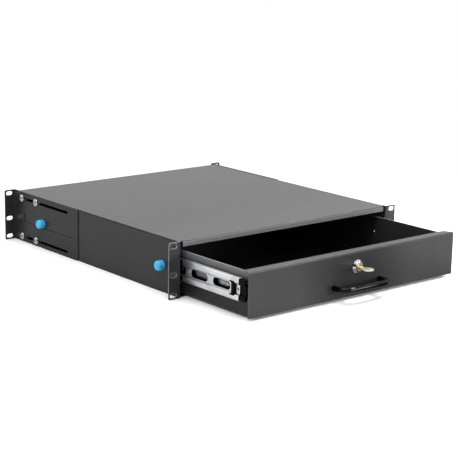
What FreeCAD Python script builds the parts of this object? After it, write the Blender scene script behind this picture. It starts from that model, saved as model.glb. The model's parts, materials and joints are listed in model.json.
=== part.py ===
"""Two-unit 19-inch rack drawer on telescopic ball slides.

Frame: the origin is the centre of the four outer slots of the front ears, on
the ears' front face. +X is to the right, +Y into the rack, +Z up. Millimetres.

Everything that slides is drawn with the drawer shut and then drawn forward to
its resting place, so one value, DRAWER_OPENING, sets how far it stands open.
Pieces of the left side are drawn on -X; the right side is their mirror image.
"""
import FreeCAD
import Part
import math
import os

Vector = FreeCAD.Vector

# Rack standard: panel size, slot rows and slot size of a 19-inch rack.
RACK_UNIT = 44.45
UNITS = 2
PANEL_TRIM = 0.8
RACK_WIDTH = 482.6
SLOT_PITCH = 465.1
SLOT_EDGE = 6.35
SLOT_ROW_STEP = 31.75
SLOT_WIDTH = 7.1
SLOT_LENGTH = 12.5
EAR_CORNER = 3.0

# Cabinet sheets.
BODY_WIDTH = 440.0
CABINET_DEPTH = 464.5
SHEET = 1.5
SHEET_BEND = 1.0
COVER_DROP = 0.6
COVER_NOTCH = 7.0
LIP_HEIGHT = 8.4
LIP_SETBACK = 1.0
LIP_END_GAP = 4.7
WALL_FLANGE = 11.0
REAR_FLANGE = 9.0
FLANGE_GAP = 2.0

# Adjustable rear brackets.
BRACKET_SHEET = 2.0
BRACKET_LENGTH = 200.0
BRACKET_REACH = 9.5
BRACKET_CORNER = 5.0
BRACKET_SLOT_WIDTH = 5.6
BRACKET_SLOT_LENGTH = 148.0
BRACKET_SLOT_START = 29.0
BRACKET_SLOT_RISE = 33.7
BRACKET_WINDOW_START = 10.5
BRACKET_WINDOW_LENGTH = 160.0
BRACKET_WINDOW_HEIGHT = 16.4
BRACKET_SCREW_STEP = 45.5
SCREW_RADIUS = 2.5
SCREW_HEAD_RADIUS = 6.4
SCREW_HEAD_HEIGHT = 2.9
SCREW_SOCKET = 4.0
SCREW_SOCKET_DEPTH = 1.9
SCREW_LENGTH = 9.0
SCREW_NUT_ACROSS = 8.0
SCREW_NUT_HEIGHT = 4.0
FIT_GAP = 0.15
HEAD_RIM_SHARE = 0.45

# Drawer tray and front panel.
DRAWER_OPENING = 154.6
PANEL_SIDE_GAP = 2.3
PANEL_BOTTOM = 4.0
PANEL_HEIGHT = 68.9
PANEL_FLANGE = 16.3
PANEL_MITRE = 7.0
TRAY_SHEET = 1.2
TRAY_BOTTOM = 2.5
TRAY_END = 420.0
TRAY_TAB = 8.0
REAR_WALL_FLANGE = 12.0

# Telescopic slides. Depths run from the cabinet wall towards the drawer.
SLIDE_HEIGHT = 42.4
SLIDE_SPACE = 12.7
RAIL_SHEET = 1.2
RAIL_BEND = 0.8
RACE_CLEARANCE = 0.05
OUTER_BALL_RADIUS = 2.38
INNER_BALL_RADIUS = 1.8
CABINET_RAIL_START = 12.0
CABINET_RAIL_LENGTH = 400.0
CABINET_RAIL_HALF = 22.8
CABINET_RAIL_DEPTH = 11.0
MIDDLE_RAIL_START = 23.1
MIDDLE_RAIL_LENGTH = 380.0
MIDDLE_RAIL_HALF = 17.2
MIDDLE_RAIL_NEAR = 2.6
MIDDLE_RAIL_FAR = 11.4
MIDDLE_WEB_RECESS = 2.8
MIDDLE_WEB_HALF = 7.4
MIDDLE_STEP_RISE = 1.6
DRAWER_RAIL_START = 4.6
DRAWER_RAIL_LENGTH = 400.0
LIP_CLEARANCE = 0.55
CAGE_SHEET = 0.6
CAGE_LENGTH = 150.0
CAGE_WIDTH = 6.2
CAGE_WALL_GAP = 0.5
OUTER_CAGE_START = 132.0
INNER_CAGE_START = 149.6
BALLS_PER_ROW = 3
WINDOW_LENGTH = 40.0
WINDOW_HEIGHT = 12.4
WINDOW_PITCH = 52.5
WINDOW_START = 41.5
RIVET_HOLE_RADIUS = 2.0
RIVET_HOLE_BACK = 4.0

# Plastic pieces on the slides.
CLIP_START = 9.9
CLIP_WIDTH = 5.8
CLIP_HALF = 10.6
CLIP_HOOK = 3.8
CLIP_HOOK_HEIGHT = 2.0
CLIP_PROUD = 0.9
BUMPER_LENGTH = 14.0
BUMPER_HALF = 15.4
BUMPER_NEAR = 2.8
BUMPER_SIDE_GAP = 1.7
BUMPER_GAP = 0.3
BUMPER_NOTCH = 3.0
BUFFER_LENGTH = 6.0
BUFFER_HALF = 12.0
BUFFER_GAP = 0.6

# Slide fixings.
STUD_RADIUS = 2.5
STUD_TAIL = 7.0
STUD_FRONT = 33.0
STUD_SPACING = 340.0
STUD_NUT_ACROSS = 8.0
STUD_NUT_HEIGHT = 4.0
CAP_RADIUS = 7.9
CAP_LENGTH = 12.0
CAP_TAPER = 0.5
CAP_ROUND = 4.2
CAP_WALL = 2.7
CAP_HOLLOW_DEPTH = 8.5
RIVET_PLACES = (52.6, 162.0, 330.0)
RIVET_RADIUS = 2.0
RIVET_HEAD_RADIUS = 3.6
RIVET_HEAD_HEIGHT = 1.6
RIVET_TAIL_RADIUS = 2.8
RIVET_TAIL_HEIGHT = 1.4

# Bow handle.
HANDLE_HEIGHT = 22.8
HANDLE_PITCH = 96.0
HANDLE_REACH = 24.0
HANDLE_ROD_RADIUS = 4.25
HANDLE_BEND = 13.0
HANDLE_SCREW_RADIUS = 2.0
HANDLE_SCREW_GRIP = 9.0
HANDLE_SCREW_HEAD_RADIUS = 4.0
HANDLE_SCREW_HEAD_HEIGHT = 2.6

# Cam lock and key.
LOCK_HEIGHT = 49.0
LOCK_BEZEL_RADIUS = 11.0
LOCK_BEZEL_HEIGHT = 4.8
LOCK_BEZEL_FACE_RADIUS = 8.0
LOCK_BEZEL_EDGE = 1.0
LOCK_BEZEL_ROUND = 1.2
LOCK_BARREL_RADIUS = 9.3
LOCK_BARREL_FLAT = 8.2
LOCK_NUT_ACROSS = 23.0
LOCK_NUT_HEIGHT = 3.5
LOCK_PLUG_RADIUS = 5.5
LOCK_RUNNING_GAP = 0.05
LOCK_SHOULDER_RADIUS = 6.5
LOCK_SHOULDER_HEIGHT = 1.2
LOCK_SHOULDER_PROUD = 0.5
LOCK_TAIL = 6.4
CAM_SHEET = 2.0
CAM_GAP = 0.7
CAM_LENGTH = 31.0
CAM_WIDTH = 15.0
CAM_TIP_WIDTH = 10.0
CAM_SCREW_RADIUS = 2.0
CAM_SCREW_HEAD_RADIUS = 4.4
CAM_SCREW_HEAD_HEIGHT = 2.2
CAM_SCREW_GRIP = 4.0
STRIKE_WIDTH = 34.0
STRIKE_FOOT = 16.0
STRIKE_DROP = 3.2
STRIKE_CAM_GAP = 2.0
KEY_THICKNESS = 1.8
KEY_BLADE_WIDTH = 7.0
KEY_BLADE_LENGTH = 17.0
KEY_GAP = 0.2
KEY_SHOULDER_GAP = 0.3
KEY_NECK_WIDTH = 9.0
KEY_NECK_LENGTH = 7.5
KEY_BOW_RADIUS = 9.8
KEY_RING_RADIUS = 2.4
KEY_RING_BACK = 3.0
KEY_NOTCHES = 4
KEY_NOTCH_DEPTH = 1.5
KEY_NOTCH_WIDTH = 1.4

# Worked-out places.
EAR_HEIGHT = UNITS * RACK_UNIT - PANEL_TRIM
BASE_Z = -EAR_HEIGHT / 2
EAR_TOP_Z = EAR_HEIGHT / 2
TOP_ROW_Z = UNITS * RACK_UNIT / 2 - SLOT_EDGE
SLOT_ROWS = (-TOP_ROW_Z, -TOP_ROW_Z + SLOT_ROW_STEP, TOP_ROW_Z)
COVER_TOP_Z = EAR_TOP_Z - COVER_DROP
COVER_UNDER_Z = COVER_TOP_Z - SHEET
BODY_HALF = BODY_WIDTH / 2
WALL_INNER = BODY_HALF - SHEET
LIP_HALF = WALL_INNER - LIP_END_GAP
SLIDE_Z = BASE_Z + SLIDE_HEIGHT
PANEL_HALF = WALL_INNER - PANEL_SIDE_GAP
PANEL_BOTTOM_Z = BASE_Z + PANEL_BOTTOM
PANEL_TOP_Z = PANEL_BOTTOM_Z + PANEL_HEIGHT
TRAY_HALF = WALL_INNER - SLIDE_SPACE
TRAY_BOTTOM_Z = BASE_Z + TRAY_BOTTOM
TRAY_TOP_Z = PANEL_TOP_Z - SHEET - SHEET_BEND - FIT_GAP
REAR_WALL_Y = TRAY_END - REAR_WALL_FLANGE
REAR_EAR_Y = CABINET_DEPTH + BRACKET_REACH
BRACKET_START = REAR_EAR_Y + BRACKET_SHEET - BRACKET_LENGTH
BRACKET_SCREW_YS = (
    BRACKET_START + BRACKET_SLOT_START + BRACKET_SLOT_LENGTH - BRACKET_SLOT_WIDTH / 2
    - FIT_GAP - BRACKET_SCREW_STEP,
    BRACKET_START + BRACKET_SLOT_START + BRACKET_SLOT_LENGTH - BRACKET_SLOT_WIDTH / 2
    - FIT_GAP,
)
STUD_YS = (CABINET_RAIL_START + STUD_FRONT, CABINET_RAIL_START + STUD_FRONT + STUD_SPACING)
OUTER_RACE = OUTER_BALL_RADIUS + RACE_CLEARANCE
INNER_RACE = INNER_BALL_RADIUS + RACE_CLEARANCE
OUTER_BALL_DEPTH = CABINET_RAIL_DEPTH - RAIL_SHEET - OUTER_RACE
OUTER_BALL_RISE = CABINET_RAIL_HALF - RAIL_SHEET - OUTER_RACE
INNER_BALL_DEPTH = MIDDLE_RAIL_FAR - RAIL_SHEET - INNER_RACE
INNER_BALL_RISE = MIDDLE_RAIL_HALF - RAIL_SHEET - INNER_RACE
DRAWER_RAIL_HALF = INNER_BALL_RISE - INNER_RACE
DRAWER_LIP_DEPTH = INNER_BALL_DEPTH - INNER_RACE
MIDDLE_WEB_DEPTH = MIDDLE_RAIL_NEAR + MIDDLE_WEB_RECESS
CAGE_HALF_SHEET = CAGE_SHEET / 2
LOCK_Z = BASE_Z + LOCK_HEIGHT
LOCK_PLUG_FACE = -LOCK_BEZEL_HEIGHT - LOCK_SHOULDER_PROUD
HANDLE_Z = BASE_Z + HANDLE_HEIGHT
LOCK_BARREL_END = PANEL_FLANGE + CAM_GAP
CAM_END = LOCK_BARREL_END + CAM_SHEET


# Drawing helpers.

def across(y):
    """Place (x, z) points in the upright plane at y that faces the front."""
    return lambda a, b: Vector(a, y, b)


def along(x):
    """Place (y, z) points in the upright plane at x that faces the side."""
    return lambda a, b: Vector(x, a, b)


def level(z):
    """Place (x, y) points in the level plane at z."""
    return lambda a, b: Vector(a, b, z)


def slide_plane(y):
    """Place (depth, rise) points of the left slide's section at y."""
    return lambda depth, rise: Vector(depth - WALL_INNER, y, SLIDE_Z + rise)


def rounded_wire(points, radii):
    """Close a wire through the points, with an arc of its own radius at each corner."""
    corners = []
    count = len(points)
    for index, point in enumerate(points):
        before = (points[index - 1] - point).normalize()
        after = (points[(index + 1) % count] - point).normalize()
        radius = radii[index]
        if radius <= 0:
            corners.append((point, None, point))
            continue
        half = before.getAngle(after) / 2
        reach = radius / math.tan(half)
        middle = (before + after).normalize()
        crown = point + middle * (radius / math.sin(half) - radius)
        corners.append((point + before * reach, crown, point + after * reach))
    edges = []
    for index, (start, crown, end) in enumerate(corners):
        last = corners[index - 1][2]
        if last.distanceToPoint(start) > 1e-6:
            edges.append(Part.makeLine(last, start))
        if crown is not None:
            edges.append(Part.Arc(start, crown, end).toShape())
    return Part.Wire(edges)


def prism(points, place, travel, radii=0.0):
    """Extrude the outline through the 2-D points, with its corners rounded."""
    if not isinstance(radii, (list, tuple)):
        radii = [radii] * len(points)
    wire = rounded_wire([place(a, b) for a, b in points], radii)
    return Part.Face(wire).extrude(travel)


def folded(path, thickness, bends, place, travel):
    """Extrude a folded sheet. The path is one face of its section, with the sheet on the left.

    Each bend is the inside radius of one inner corner of the path.
    """
    if not isinstance(bends, (list, tuple)):
        bends = [bends] * (len(path) - 2)
    steps = []
    for (a0, b0), (a1, b1) in zip(path, path[1:]):
        size = math.hypot(a1 - a0, b1 - b0)
        steps.append(((a1 - a0) / size, (b1 - b0) / size))
    near = [0.0]
    far = [0.0]
    offset = [(path[0][0] - steps[0][1] * thickness, path[0][1] + steps[0][0] * thickness)]
    for index, bend in enumerate(bends):
        (ax, ay), (bx, by) = steps[index], steps[index + 1]
        a, b = path[index + 1]
        share = thickness / (1 + ax * bx + ay * by)
        offset.append((a - (ay + by) * share, b + (ax + bx) * share))
        turns_left = ax * by - ay * bx > 0
        near.append(bend + thickness if turns_left else bend)
        far.append(bend if turns_left else bend + thickness)
    a, b = path[-1]
    offset.append((a - steps[-1][1] * thickness, b + steps[-1][0] * thickness))
    near.append(0.0)
    far.append(0.0)
    return prism(list(path) + offset[::-1], place, travel, near + far[::-1])


def rectangle(a0, a1, b0, b1):
    return [(a0, b0), (a1, b0), (a1, b1), (a0, b1)]


def oblong(centre, length, width, place, travel):
    """A round-ended slot that runs along the plane's first direction."""
    a, b = centre
    points = rectangle(a - length / 2, a + length / 2, b - width / 2, b + width / 2)
    return prism(points, place, travel, width / 2)


def rod(radius, start, travel):
    return Part.makeCylinder(radius, travel.Length, start, travel)


def hexagon(across_flats, start, travel):
    """A hexagonal bar with its flats facing the two directions square to X or Y."""
    radius = across_flats / math.sqrt(3)
    corners = []
    for index in range(6):
        angle = math.radians(60 * index + 30)
        swing, rise = radius * math.cos(angle), radius * math.sin(angle)
        side = Vector(0, swing, rise) if abs(travel.x) > 0 else Vector(swing, 0, rise)
        corners.append(start + side)
    return Part.Face(Part.makePolygon(corners + corners[:1])).extrude(travel)


def turned(profile, start, forward, rounds=None):
    """Revolve a closed profile of (advance, radius) points about the X or Y direction forward.

    rounds, where given, is the rounding radius of each corner.
    """
    points = [start + forward * advance + Vector(0, 0, radius) for advance, radius in profile]
    face = Part.Face(rounded_wire(points, rounds or [0.0] * len(points)))
    return face.revolve(start, forward, 360)


def screw_head(radius, height, seat, forward):
    """A low head with its rim chamfered at 45 degrees, standing on its seat."""
    rim = height * HEAD_RIM_SHARE
    profile = [(0.0, 0.0), (height, 0.0), (height, radius - rim), (height - rim, radius), (0.0, radius)]
    return turned(profile, seat, forward)


def mirrored(shape):
    return shape.mirror(Vector(0, 0, 0), Vector(1, 0, 0))


def drawn_out(shape, pull):
    """Move a piece that was drawn in the shut drawer forward by the pull."""
    return shape.translated(Vector(0, -pull, 0))


def group(solids):
    return Part.makeCompound(solids)


def ear_slots(y, thickness, side):
    """The three slots of one ear, as cutters."""
    centre = side * SLOT_PITCH / 2
    start = y - FIT_GAP
    travel = Vector(0, thickness + 2 * FIT_GAP, 0)
    return [oblong((centre, row), SLOT_LENGTH, SLOT_WIDTH, across(start), travel) for row in SLOT_ROWS]


def rounded_ear(y, thickness, inner):
    """The left ear's plate from its outer edge in to x = -inner, with round outer corners."""
    outer = RACK_WIDTH / 2
    points = rectangle(-outer, -inner, BASE_Z, EAR_TOP_Z)
    radii = [EAR_CORNER, 0.0, 0.0, EAR_CORNER]
    plate = prism(points, across(y), Vector(0, thickness, 0), radii)
    for cutter in ear_slots(y, thickness, -1):
        plate = plate.cut(cutter)
    return plate


# Cabinet.

def cabinet_side():
    """Left wall with the front ear folded out of it and the cover flange folded in."""
    bend_outer = SHEET + SHEET_BEND
    joint = BODY_HALF + bend_outer
    ear = rounded_ear(0.0, SHEET, joint)
    corner_path = [(-joint, 0.0), (-WALL_INNER, 0.0), (-WALL_INNER, COVER_NOTCH)]
    height = Vector(0, 0, EAR_HEIGHT)
    corner = folded(corner_path, SHEET, SHEET_BEND, level(BASE_Z), height)
    flange_base = COVER_UNDER_Z - SHEET - SHEET_BEND - SHEET
    flange_path = [
        (-BODY_HALF, flange_base),
        (-BODY_HALF, COVER_UNDER_Z),
        (-BODY_HALF + SHEET + WALL_FLANGE, COVER_UNDER_Z),
    ]
    run = Vector(0, CABINET_DEPTH - COVER_NOTCH, 0)
    flange = folded(flange_path[::-1], SHEET, SHEET_BEND, across(COVER_NOTCH), run)
    wall_points = rectangle(COVER_NOTCH, CABINET_DEPTH, BASE_Z, flange_base)
    wall = prism(wall_points, along(-BODY_HALF), Vector(SHEET, 0, 0))
    side = ear.fuse([corner, flange, wall]).removeSplitter()
    outside = -BODY_HALF - FIT_GAP
    through = Vector(SHEET + 2 * FIT_GAP, 0, 0)
    for y in STUD_YS:
        side = side.cut(rod(STUD_RADIUS + FIT_GAP, Vector(outside, y, SLIDE_Z), through))
    for y, z in bracket_screw_places():
        side = side.cut(rod(SCREW_RADIUS + FIT_GAP, Vector(outside, y, z), through))
    return side


def cabinet_cover():
    """Top sheet with the lip folded down between the front ears."""
    lip_path = [
        (LIP_SETBACK, COVER_TOP_Z - LIP_HEIGHT),
        (LIP_SETBACK, COVER_TOP_Z),
        (CABINET_DEPTH, COVER_TOP_Z),
    ]
    strip = folded(lip_path[::-1], SHEET, SHEET_BEND, along(-LIP_HALF), Vector(2 * LIP_HALF, 0, 0))
    plate_points = rectangle(-BODY_HALF, BODY_HALF, COVER_NOTCH + FIT_GAP, CABINET_DEPTH)
    plate = prism(plate_points, level(COVER_UNDER_Z), Vector(0, 0, SHEET))
    return strip.fuse(plate).removeSplitter()


def cabinet_rear_panel():
    """Rear wall between the side walls, with a flange folded forward along each edge."""
    front = CABINET_DEPTH - REAR_FLANGE
    side_path = [
        (-WALL_INNER, front),
        (-WALL_INNER, CABINET_DEPTH),
        (WALL_INNER, CABINET_DEPTH),
        (WALL_INNER, front),
    ]
    low = BASE_Z + SHEET + SHEET_BEND + FLANGE_GAP
    high = COVER_UNDER_Z - SHEET - SHEET_BEND - FLANGE_GAP
    sides = folded(side_path[::-1], SHEET, SHEET_BEND, level(low), Vector(0, 0, high - low))
    edge_path = [
        (front, BASE_Z),
        (CABINET_DEPTH, BASE_Z),
        (CABINET_DEPTH, COVER_UNDER_Z),
        (front, COVER_UNDER_Z),
    ]
    half = WALL_INNER - WALL_FLANGE - FLANGE_GAP
    edges = folded(edge_path, SHEET, SHEET_BEND, along(-half), Vector(2 * half, 0, 0))
    return sides.fuse(edges).removeSplitter()


def lock_strike():
    """Angle under the cover that the lock's cam swings up behind."""
    front = LOCK_BARREL_END - STRIKE_CAM_GAP - SHEET
    bottom = PANEL_TOP_Z + STRIKE_DROP
    path = [(front, bottom), (front, COVER_UNDER_Z), (front + STRIKE_FOOT, COVER_UNDER_Z)]
    return folded(path[::-1], SHEET, SHEET_BEND, along(-STRIKE_WIDTH / 2), Vector(STRIKE_WIDTH, 0, 0))


# Rear brackets.

def bracket_screw_places():
    rows = (SLIDE_Z - BRACKET_SLOT_RISE, SLIDE_Z + BRACKET_SLOT_RISE)
    return [(y, z) for z in rows for y in BRACKET_SCREW_YS]


def rear_bracket():
    """Left bracket: a plate on the cabinet wall with an ear folded out at its rear end."""
    face = BODY_HALF + BRACKET_SHEET
    joint = face + BRACKET_SHEET + SHEET_BEND
    ear = rounded_ear(REAR_EAR_Y, BRACKET_SHEET, joint)
    rear = REAR_EAR_Y + BRACKET_SHEET
    bend_start = REAR_EAR_Y - BRACKET_SHEET - SHEET_BEND
    path = [(-BODY_HALF, bend_start), (-BODY_HALF, rear), (-joint, rear)]
    corner = folded(path, BRACKET_SHEET, SHEET_BEND, level(BASE_Z), Vector(0, 0, EAR_HEIGHT))
    plate_points = rectangle(BRACKET_START, bend_start, BASE_Z, EAR_TOP_Z)
    radii = [BRACKET_CORNER, 0.0, 0.0, BRACKET_CORNER]
    plate = prism(plate_points, along(-face), Vector(BRACKET_SHEET, 0, 0), radii)
    bracket = ear.fuse([corner, plate]).removeSplitter()
    outside = along(-face - FIT_GAP)
    through = Vector(BRACKET_SHEET + 2 * FIT_GAP, 0, 0)
    middle = BRACKET_START + BRACKET_SLOT_START + BRACKET_SLOT_LENGTH / 2
    for rise in (-BRACKET_SLOT_RISE, BRACKET_SLOT_RISE):
        centre = (middle, SLIDE_Z + rise)
        bracket = bracket.cut(oblong(centre, BRACKET_SLOT_LENGTH, BRACKET_SLOT_WIDTH, outside, through))
    window_start = BRACKET_START + BRACKET_WINDOW_START
    window = rectangle(
        window_start,
        window_start + BRACKET_WINDOW_LENGTH,
        SLIDE_Z - BRACKET_WINDOW_HEIGHT / 2,
        SLIDE_Z + BRACKET_WINDOW_HEIGHT / 2,
    )
    return bracket.cut(prism(window, outside, through))


def bracket_screws():
    """Button-head screws that clamp the left bracket, heads outside it."""
    seat = -BODY_HALF - BRACKET_SHEET
    screws = []
    for y, z in bracket_screw_places():
        head = screw_head(SCREW_HEAD_RADIUS, SCREW_HEAD_HEIGHT, Vector(seat, y, z), Vector(-1, 0, 0))
        socket_start = Vector(seat - SCREW_HEAD_HEIGHT, y, z)
        head = head.cut(hexagon(SCREW_SOCKET, socket_start, Vector(SCREW_SOCKET_DEPTH, 0, 0)))
        shank = rod(SCREW_RADIUS, Vector(seat, y, z), Vector(SCREW_LENGTH, 0, 0))
        screws.append(head.fuse(shank))
    return group(screws)


def bracket_nuts():
    """Weld nuts on the inside of the left wall, one for each bracket screw."""
    nuts = []
    for y, z in bracket_screw_places():
        nut = hexagon(SCREW_NUT_ACROSS, Vector(-WALL_INNER, y, z), Vector(SCREW_NUT_HEIGHT, 0, 0))
        bore = rod(SCREW_RADIUS + FIT_GAP, Vector(-WALL_INNER, y, z), Vector(SCREW_NUT_HEIGHT, 0, 0))
        nuts.append(nut.cut(bore))
    return group(nuts)


# Telescopic slide.

def ball_race(depth, rise, radius, start, length):
    """The groove that a row of balls runs in, as a round cutter along the slide."""
    return rod(radius, slide_plane(start)(depth, rise), Vector(0, length, 0))


def without_lip_ends(rail, low, high, rise, start, length):
    """Trim a rail's curled lips back to the given rise, between the depths low and high."""
    points = rectangle(low, high, -rise, rise)
    return rail.cut(prism(points, slide_plane(start - FIT_GAP), Vector(0, length + 2 * FIT_GAP, 0)))


def web_window(centre_y, depth):
    outside = along(depth - FIT_GAP - WALL_INNER)
    through = Vector(RAIL_SHEET + 2 * FIT_GAP, 0, 0)
    return oblong((centre_y, SLIDE_Z), WINDOW_LENGTH, WINDOW_HEIGHT, outside, through)


def cabinet_rail():
    """Outer channel, fixed to the wall. Its curled lips hold the outer balls."""
    depth, half, rise = CABINET_RAIL_DEPTH, CABINET_RAIL_HALF, OUTER_BALL_RISE
    path = [(depth, rise), (depth, half), (0.0, half), (0.0, -half), (depth, -half), (depth, -rise)]
    bends = [OUTER_RACE, RAIL_BEND, RAIL_BEND, OUTER_RACE]
    start, length = CABINET_RAIL_START, CABINET_RAIL_LENGTH
    rail = folded(path, RAIL_SHEET, bends, slide_plane(start), Vector(0, length, 0))
    lip_end = rise + CAGE_HALF_SHEET + LIP_CLEARANCE
    rail = without_lip_ends(rail, OUTER_BALL_DEPTH, depth + FIT_GAP, lip_end, start, length)
    for y in STUD_YS:
        hole_start = Vector(-WALL_INNER - FIT_GAP, y, SLIDE_Z)
        rail = rail.cut(rod(STUD_RADIUS + FIT_GAP, hole_start, Vector(RAIL_SHEET + 2 * FIT_GAP, 0, 0)))
    window_y = CABINET_RAIL_START + STUD_FRONT + WINDOW_PITCH
    while window_y + WINDOW_PITCH < STUD_YS[1]:
        rail = rail.cut(web_window(window_y, 0.0))
        window_y += 2 * WINDOW_PITCH
    return rail


def middle_rail():
    """Middle member: a recessed, windowed web between two raised bands, and curled flanges."""
    near, far = MIDDLE_RAIL_NEAR, MIDDLE_RAIL_FAR
    half, web = MIDDLE_RAIL_HALF, MIDDLE_WEB_HALF
    step = web + MIDDLE_STEP_RISE
    start, length = MIDDLE_RAIL_START, MIDDLE_RAIL_LENGTH
    upper = [(far, INNER_BALL_RISE), (far, half), (near, half), (near, step), (MIDDLE_WEB_DEPTH, web)]
    lower = [(depth, -rise) for depth, rise in upper[::-1]]
    half_bends = [INNER_RACE, RAIL_BEND, RAIL_BEND / 2, RAIL_BEND / 2]
    bends = half_bends + half_bends[::-1]
    rail = folded(upper + lower, RAIL_SHEET, bends, slide_plane(start), Vector(0, length, 0))
    lip_end = INNER_BALL_RISE + CAGE_HALF_SHEET + LIP_CLEARANCE
    rail = without_lip_ends(rail, INNER_BALL_DEPTH, far + FIT_GAP, lip_end, start, length)
    for rise in (-OUTER_BALL_RISE, OUTER_BALL_RISE):
        rail = rail.cut(ball_race(OUTER_BALL_DEPTH, rise, OUTER_RACE, start, length))
    window_y = start + WINDOW_START
    while window_y + WINDOW_PITCH / 2 < start + length:
        rail = rail.cut(web_window(window_y, MIDDLE_WEB_DEPTH))
        window_y += WINDOW_PITCH
    hole_place = slide_plane(start + RIVET_HOLE_BACK)(MIDDLE_WEB_DEPTH - FIT_GAP, 0.0)
    hole = rod(RIVET_HOLE_RADIUS, hole_place, Vector(RAIL_SHEET + 2 * FIT_GAP, 0, 0))
    return rail.cut(hole)


def drawer_rail():
    """Inner channel, fixed to the drawer, with its lips turned out around the inner balls."""
    half, near, far, rise = DRAWER_RAIL_HALF, DRAWER_LIP_DEPTH, SLIDE_SPACE, INNER_BALL_RISE
    path = [(near, -rise), (near, -half), (far, -half), (far, half), (near, half), (near, rise)]
    bends = [INNER_RACE, RAIL_BEND, RAIL_BEND, INNER_RACE]
    start, length = DRAWER_RAIL_START, DRAWER_RAIL_LENGTH
    rail = folded(path, RAIL_SHEET, bends, slide_plane(start), Vector(0, length, 0))
    lip_end = rise - CAGE_HALF_SHEET - LIP_CLEARANCE
    for side in (-1, 1):
        ends = sorted((side * lip_end, side * (rise + FIT_GAP)))
        lip = rectangle(near - 2 * RAIL_SHEET, INNER_BALL_DEPTH, *ends)
        rail = rail.cut(prism(lip, slide_plane(start - FIT_GAP), Vector(0, length + 2 * FIT_GAP, 0)))
    for place in RIVET_PLACES:
        hole_place = slide_plane(start + place)(SLIDE_SPACE - RAIL_SHEET - FIT_GAP, 0.0)
        hole = rod(RIVET_RADIUS + FIT_GAP, hole_place, Vector(RAIL_SHEET + 2 * FIT_GAP, 0, 0))
        rail = rail.cut(hole)
    return rail


def ball_ys(cage_start):
    pitch = CAGE_LENGTH / BALLS_PER_ROW
    return [cage_start + pitch * (index + 0.5) for index in range(BALLS_PER_ROW)]


def ball_rows(cage_start, depth, rise, radius):
    """The balls of one cage: a row above and a row below."""
    places = [slide_plane(y)(depth, side) for side in (-rise, rise) for y in ball_ys(cage_start)]
    return group([Part.makeSphere(radius, place) for place in places])


def outer_cage():
    """Retainer between the cabinet rail and the middle rail, a channel with ball holes."""
    web = RAIL_SHEET + CAGE_WALL_GAP
    edge = OUTER_BALL_DEPTH + OUTER_RACE + (CABINET_RAIL_DEPTH - OUTER_BALL_DEPTH - OUTER_RACE) / 2
    rise = OUTER_BALL_RISE + CAGE_HALF_SHEET
    path = [(edge, rise), (web, rise), (web, -rise), (edge, -rise)]
    travel = Vector(0, CAGE_LENGTH, 0)
    cage = folded(path, CAGE_SHEET, CAGE_SHEET / 2, slide_plane(OUTER_CAGE_START), travel)
    for y in ball_ys(OUTER_CAGE_START):
        bottom = slide_plane(y)(OUTER_BALL_DEPTH, -OUTER_BALL_RISE - CAGE_SHEET)
        cage = cage.cut(rod(OUTER_RACE, bottom, Vector(0, 0, 2 * (OUTER_BALL_RISE + CAGE_SHEET))))
    return cage


def inner_cage():
    """Retainer strips between the middle rail and the drawer rail, one above and one below."""
    strips = []
    near = INNER_BALL_DEPTH - CAGE_WIDTH / 2
    for side in (-1, 1):
        rise = side * INNER_BALL_RISE
        points = rectangle(near, near + CAGE_WIDTH, rise - CAGE_HALF_SHEET, rise + CAGE_HALF_SHEET)
        strip = prism(points, slide_plane(INNER_CAGE_START), Vector(0, CAGE_LENGTH, 0))
        for y in ball_ys(INNER_CAGE_START):
            bottom = slide_plane(y)(INNER_BALL_DEPTH, rise - CAGE_SHEET)
            strip = strip.cut(rod(INNER_RACE, bottom, Vector(0, 0, 2 * CAGE_SHEET)))
        strips.append(strip)
    return group(strips)


def middle_clip():
    """Black clip that fills the middle rail's recess near its front end, hooked to the rear."""
    start = MIDDLE_RAIL_START + CLIP_START
    face = MIDDLE_RAIL_NEAR - CLIP_PROUD
    step = MIDDLE_WEB_HALF + MIDDLE_STEP_RISE
    half, near = CLIP_HALF, MIDDLE_RAIL_NEAR
    points = [
        (face, half), (near, half), (near, step), (MIDDLE_WEB_DEPTH, MIDDLE_WEB_HALF),
        (MIDDLE_WEB_DEPTH, -MIDDLE_WEB_HALF), (near, -step), (near, -half), (face, -half),
    ]
    clip = prism(points, slide_plane(start), Vector(0, CLIP_WIDTH, 0))
    hooks = []
    for side in (-1, 1):
        inner = side * (CLIP_HALF - CLIP_HOOK_HEIGHT)
        hook = rectangle(face, near, min(inner, side * half), max(inner, side * half))
        hooks.append(prism(hook, slide_plane(start + CLIP_WIDTH), Vector(0, CLIP_HOOK, 0)))
    return clip.fuse(hooks).removeSplitter().cut(middle_rail())


def front_bumper():
    """Black bumper on the drawer rail's front end, stepped like the middle rail it closes on."""
    rear = MIDDLE_RAIL_START - BUMPER_GAP
    near, web, half = BUMPER_NEAR, MIDDLE_WEB_HALF, BUMPER_HALF
    recess = near + MIDDLE_WEB_RECESS
    far = SLIDE_SPACE - BUMPER_SIDE_GAP
    points = [
        (near, half), (near, web), (recess, web), (recess, -web),
        (near, -web), (near, -half), (far, -half), (far, half),
    ]
    block = prism(points, slide_plane(rear - BUMPER_LENGTH), Vector(0, BUMPER_LENGTH, 0))
    notch = rectangle(near - FIT_GAP, far + FIT_GAP, -web, web)
    block = block.cut(prism(notch, slide_plane(rear - BUMPER_NOTCH), Vector(0, BUMPER_LENGTH, 0)))
    return block.cut(drawer_rail())


def rear_buffer():
    """Black block in the cabinet rail's rear end that the shut slide runs against."""
    start = max(
        MIDDLE_RAIL_START + MIDDLE_RAIL_LENGTH,
        DRAWER_RAIL_START + DRAWER_RAIL_LENGTH,
    ) + BUFFER_GAP
    points = rectangle(RAIL_SHEET, CABINET_RAIL_DEPTH, -BUFFER_HALF, BUFFER_HALF)
    return prism(points, slide_plane(start), Vector(0, BUFFER_LENGTH, 0), SHEET_BEND)


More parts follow.
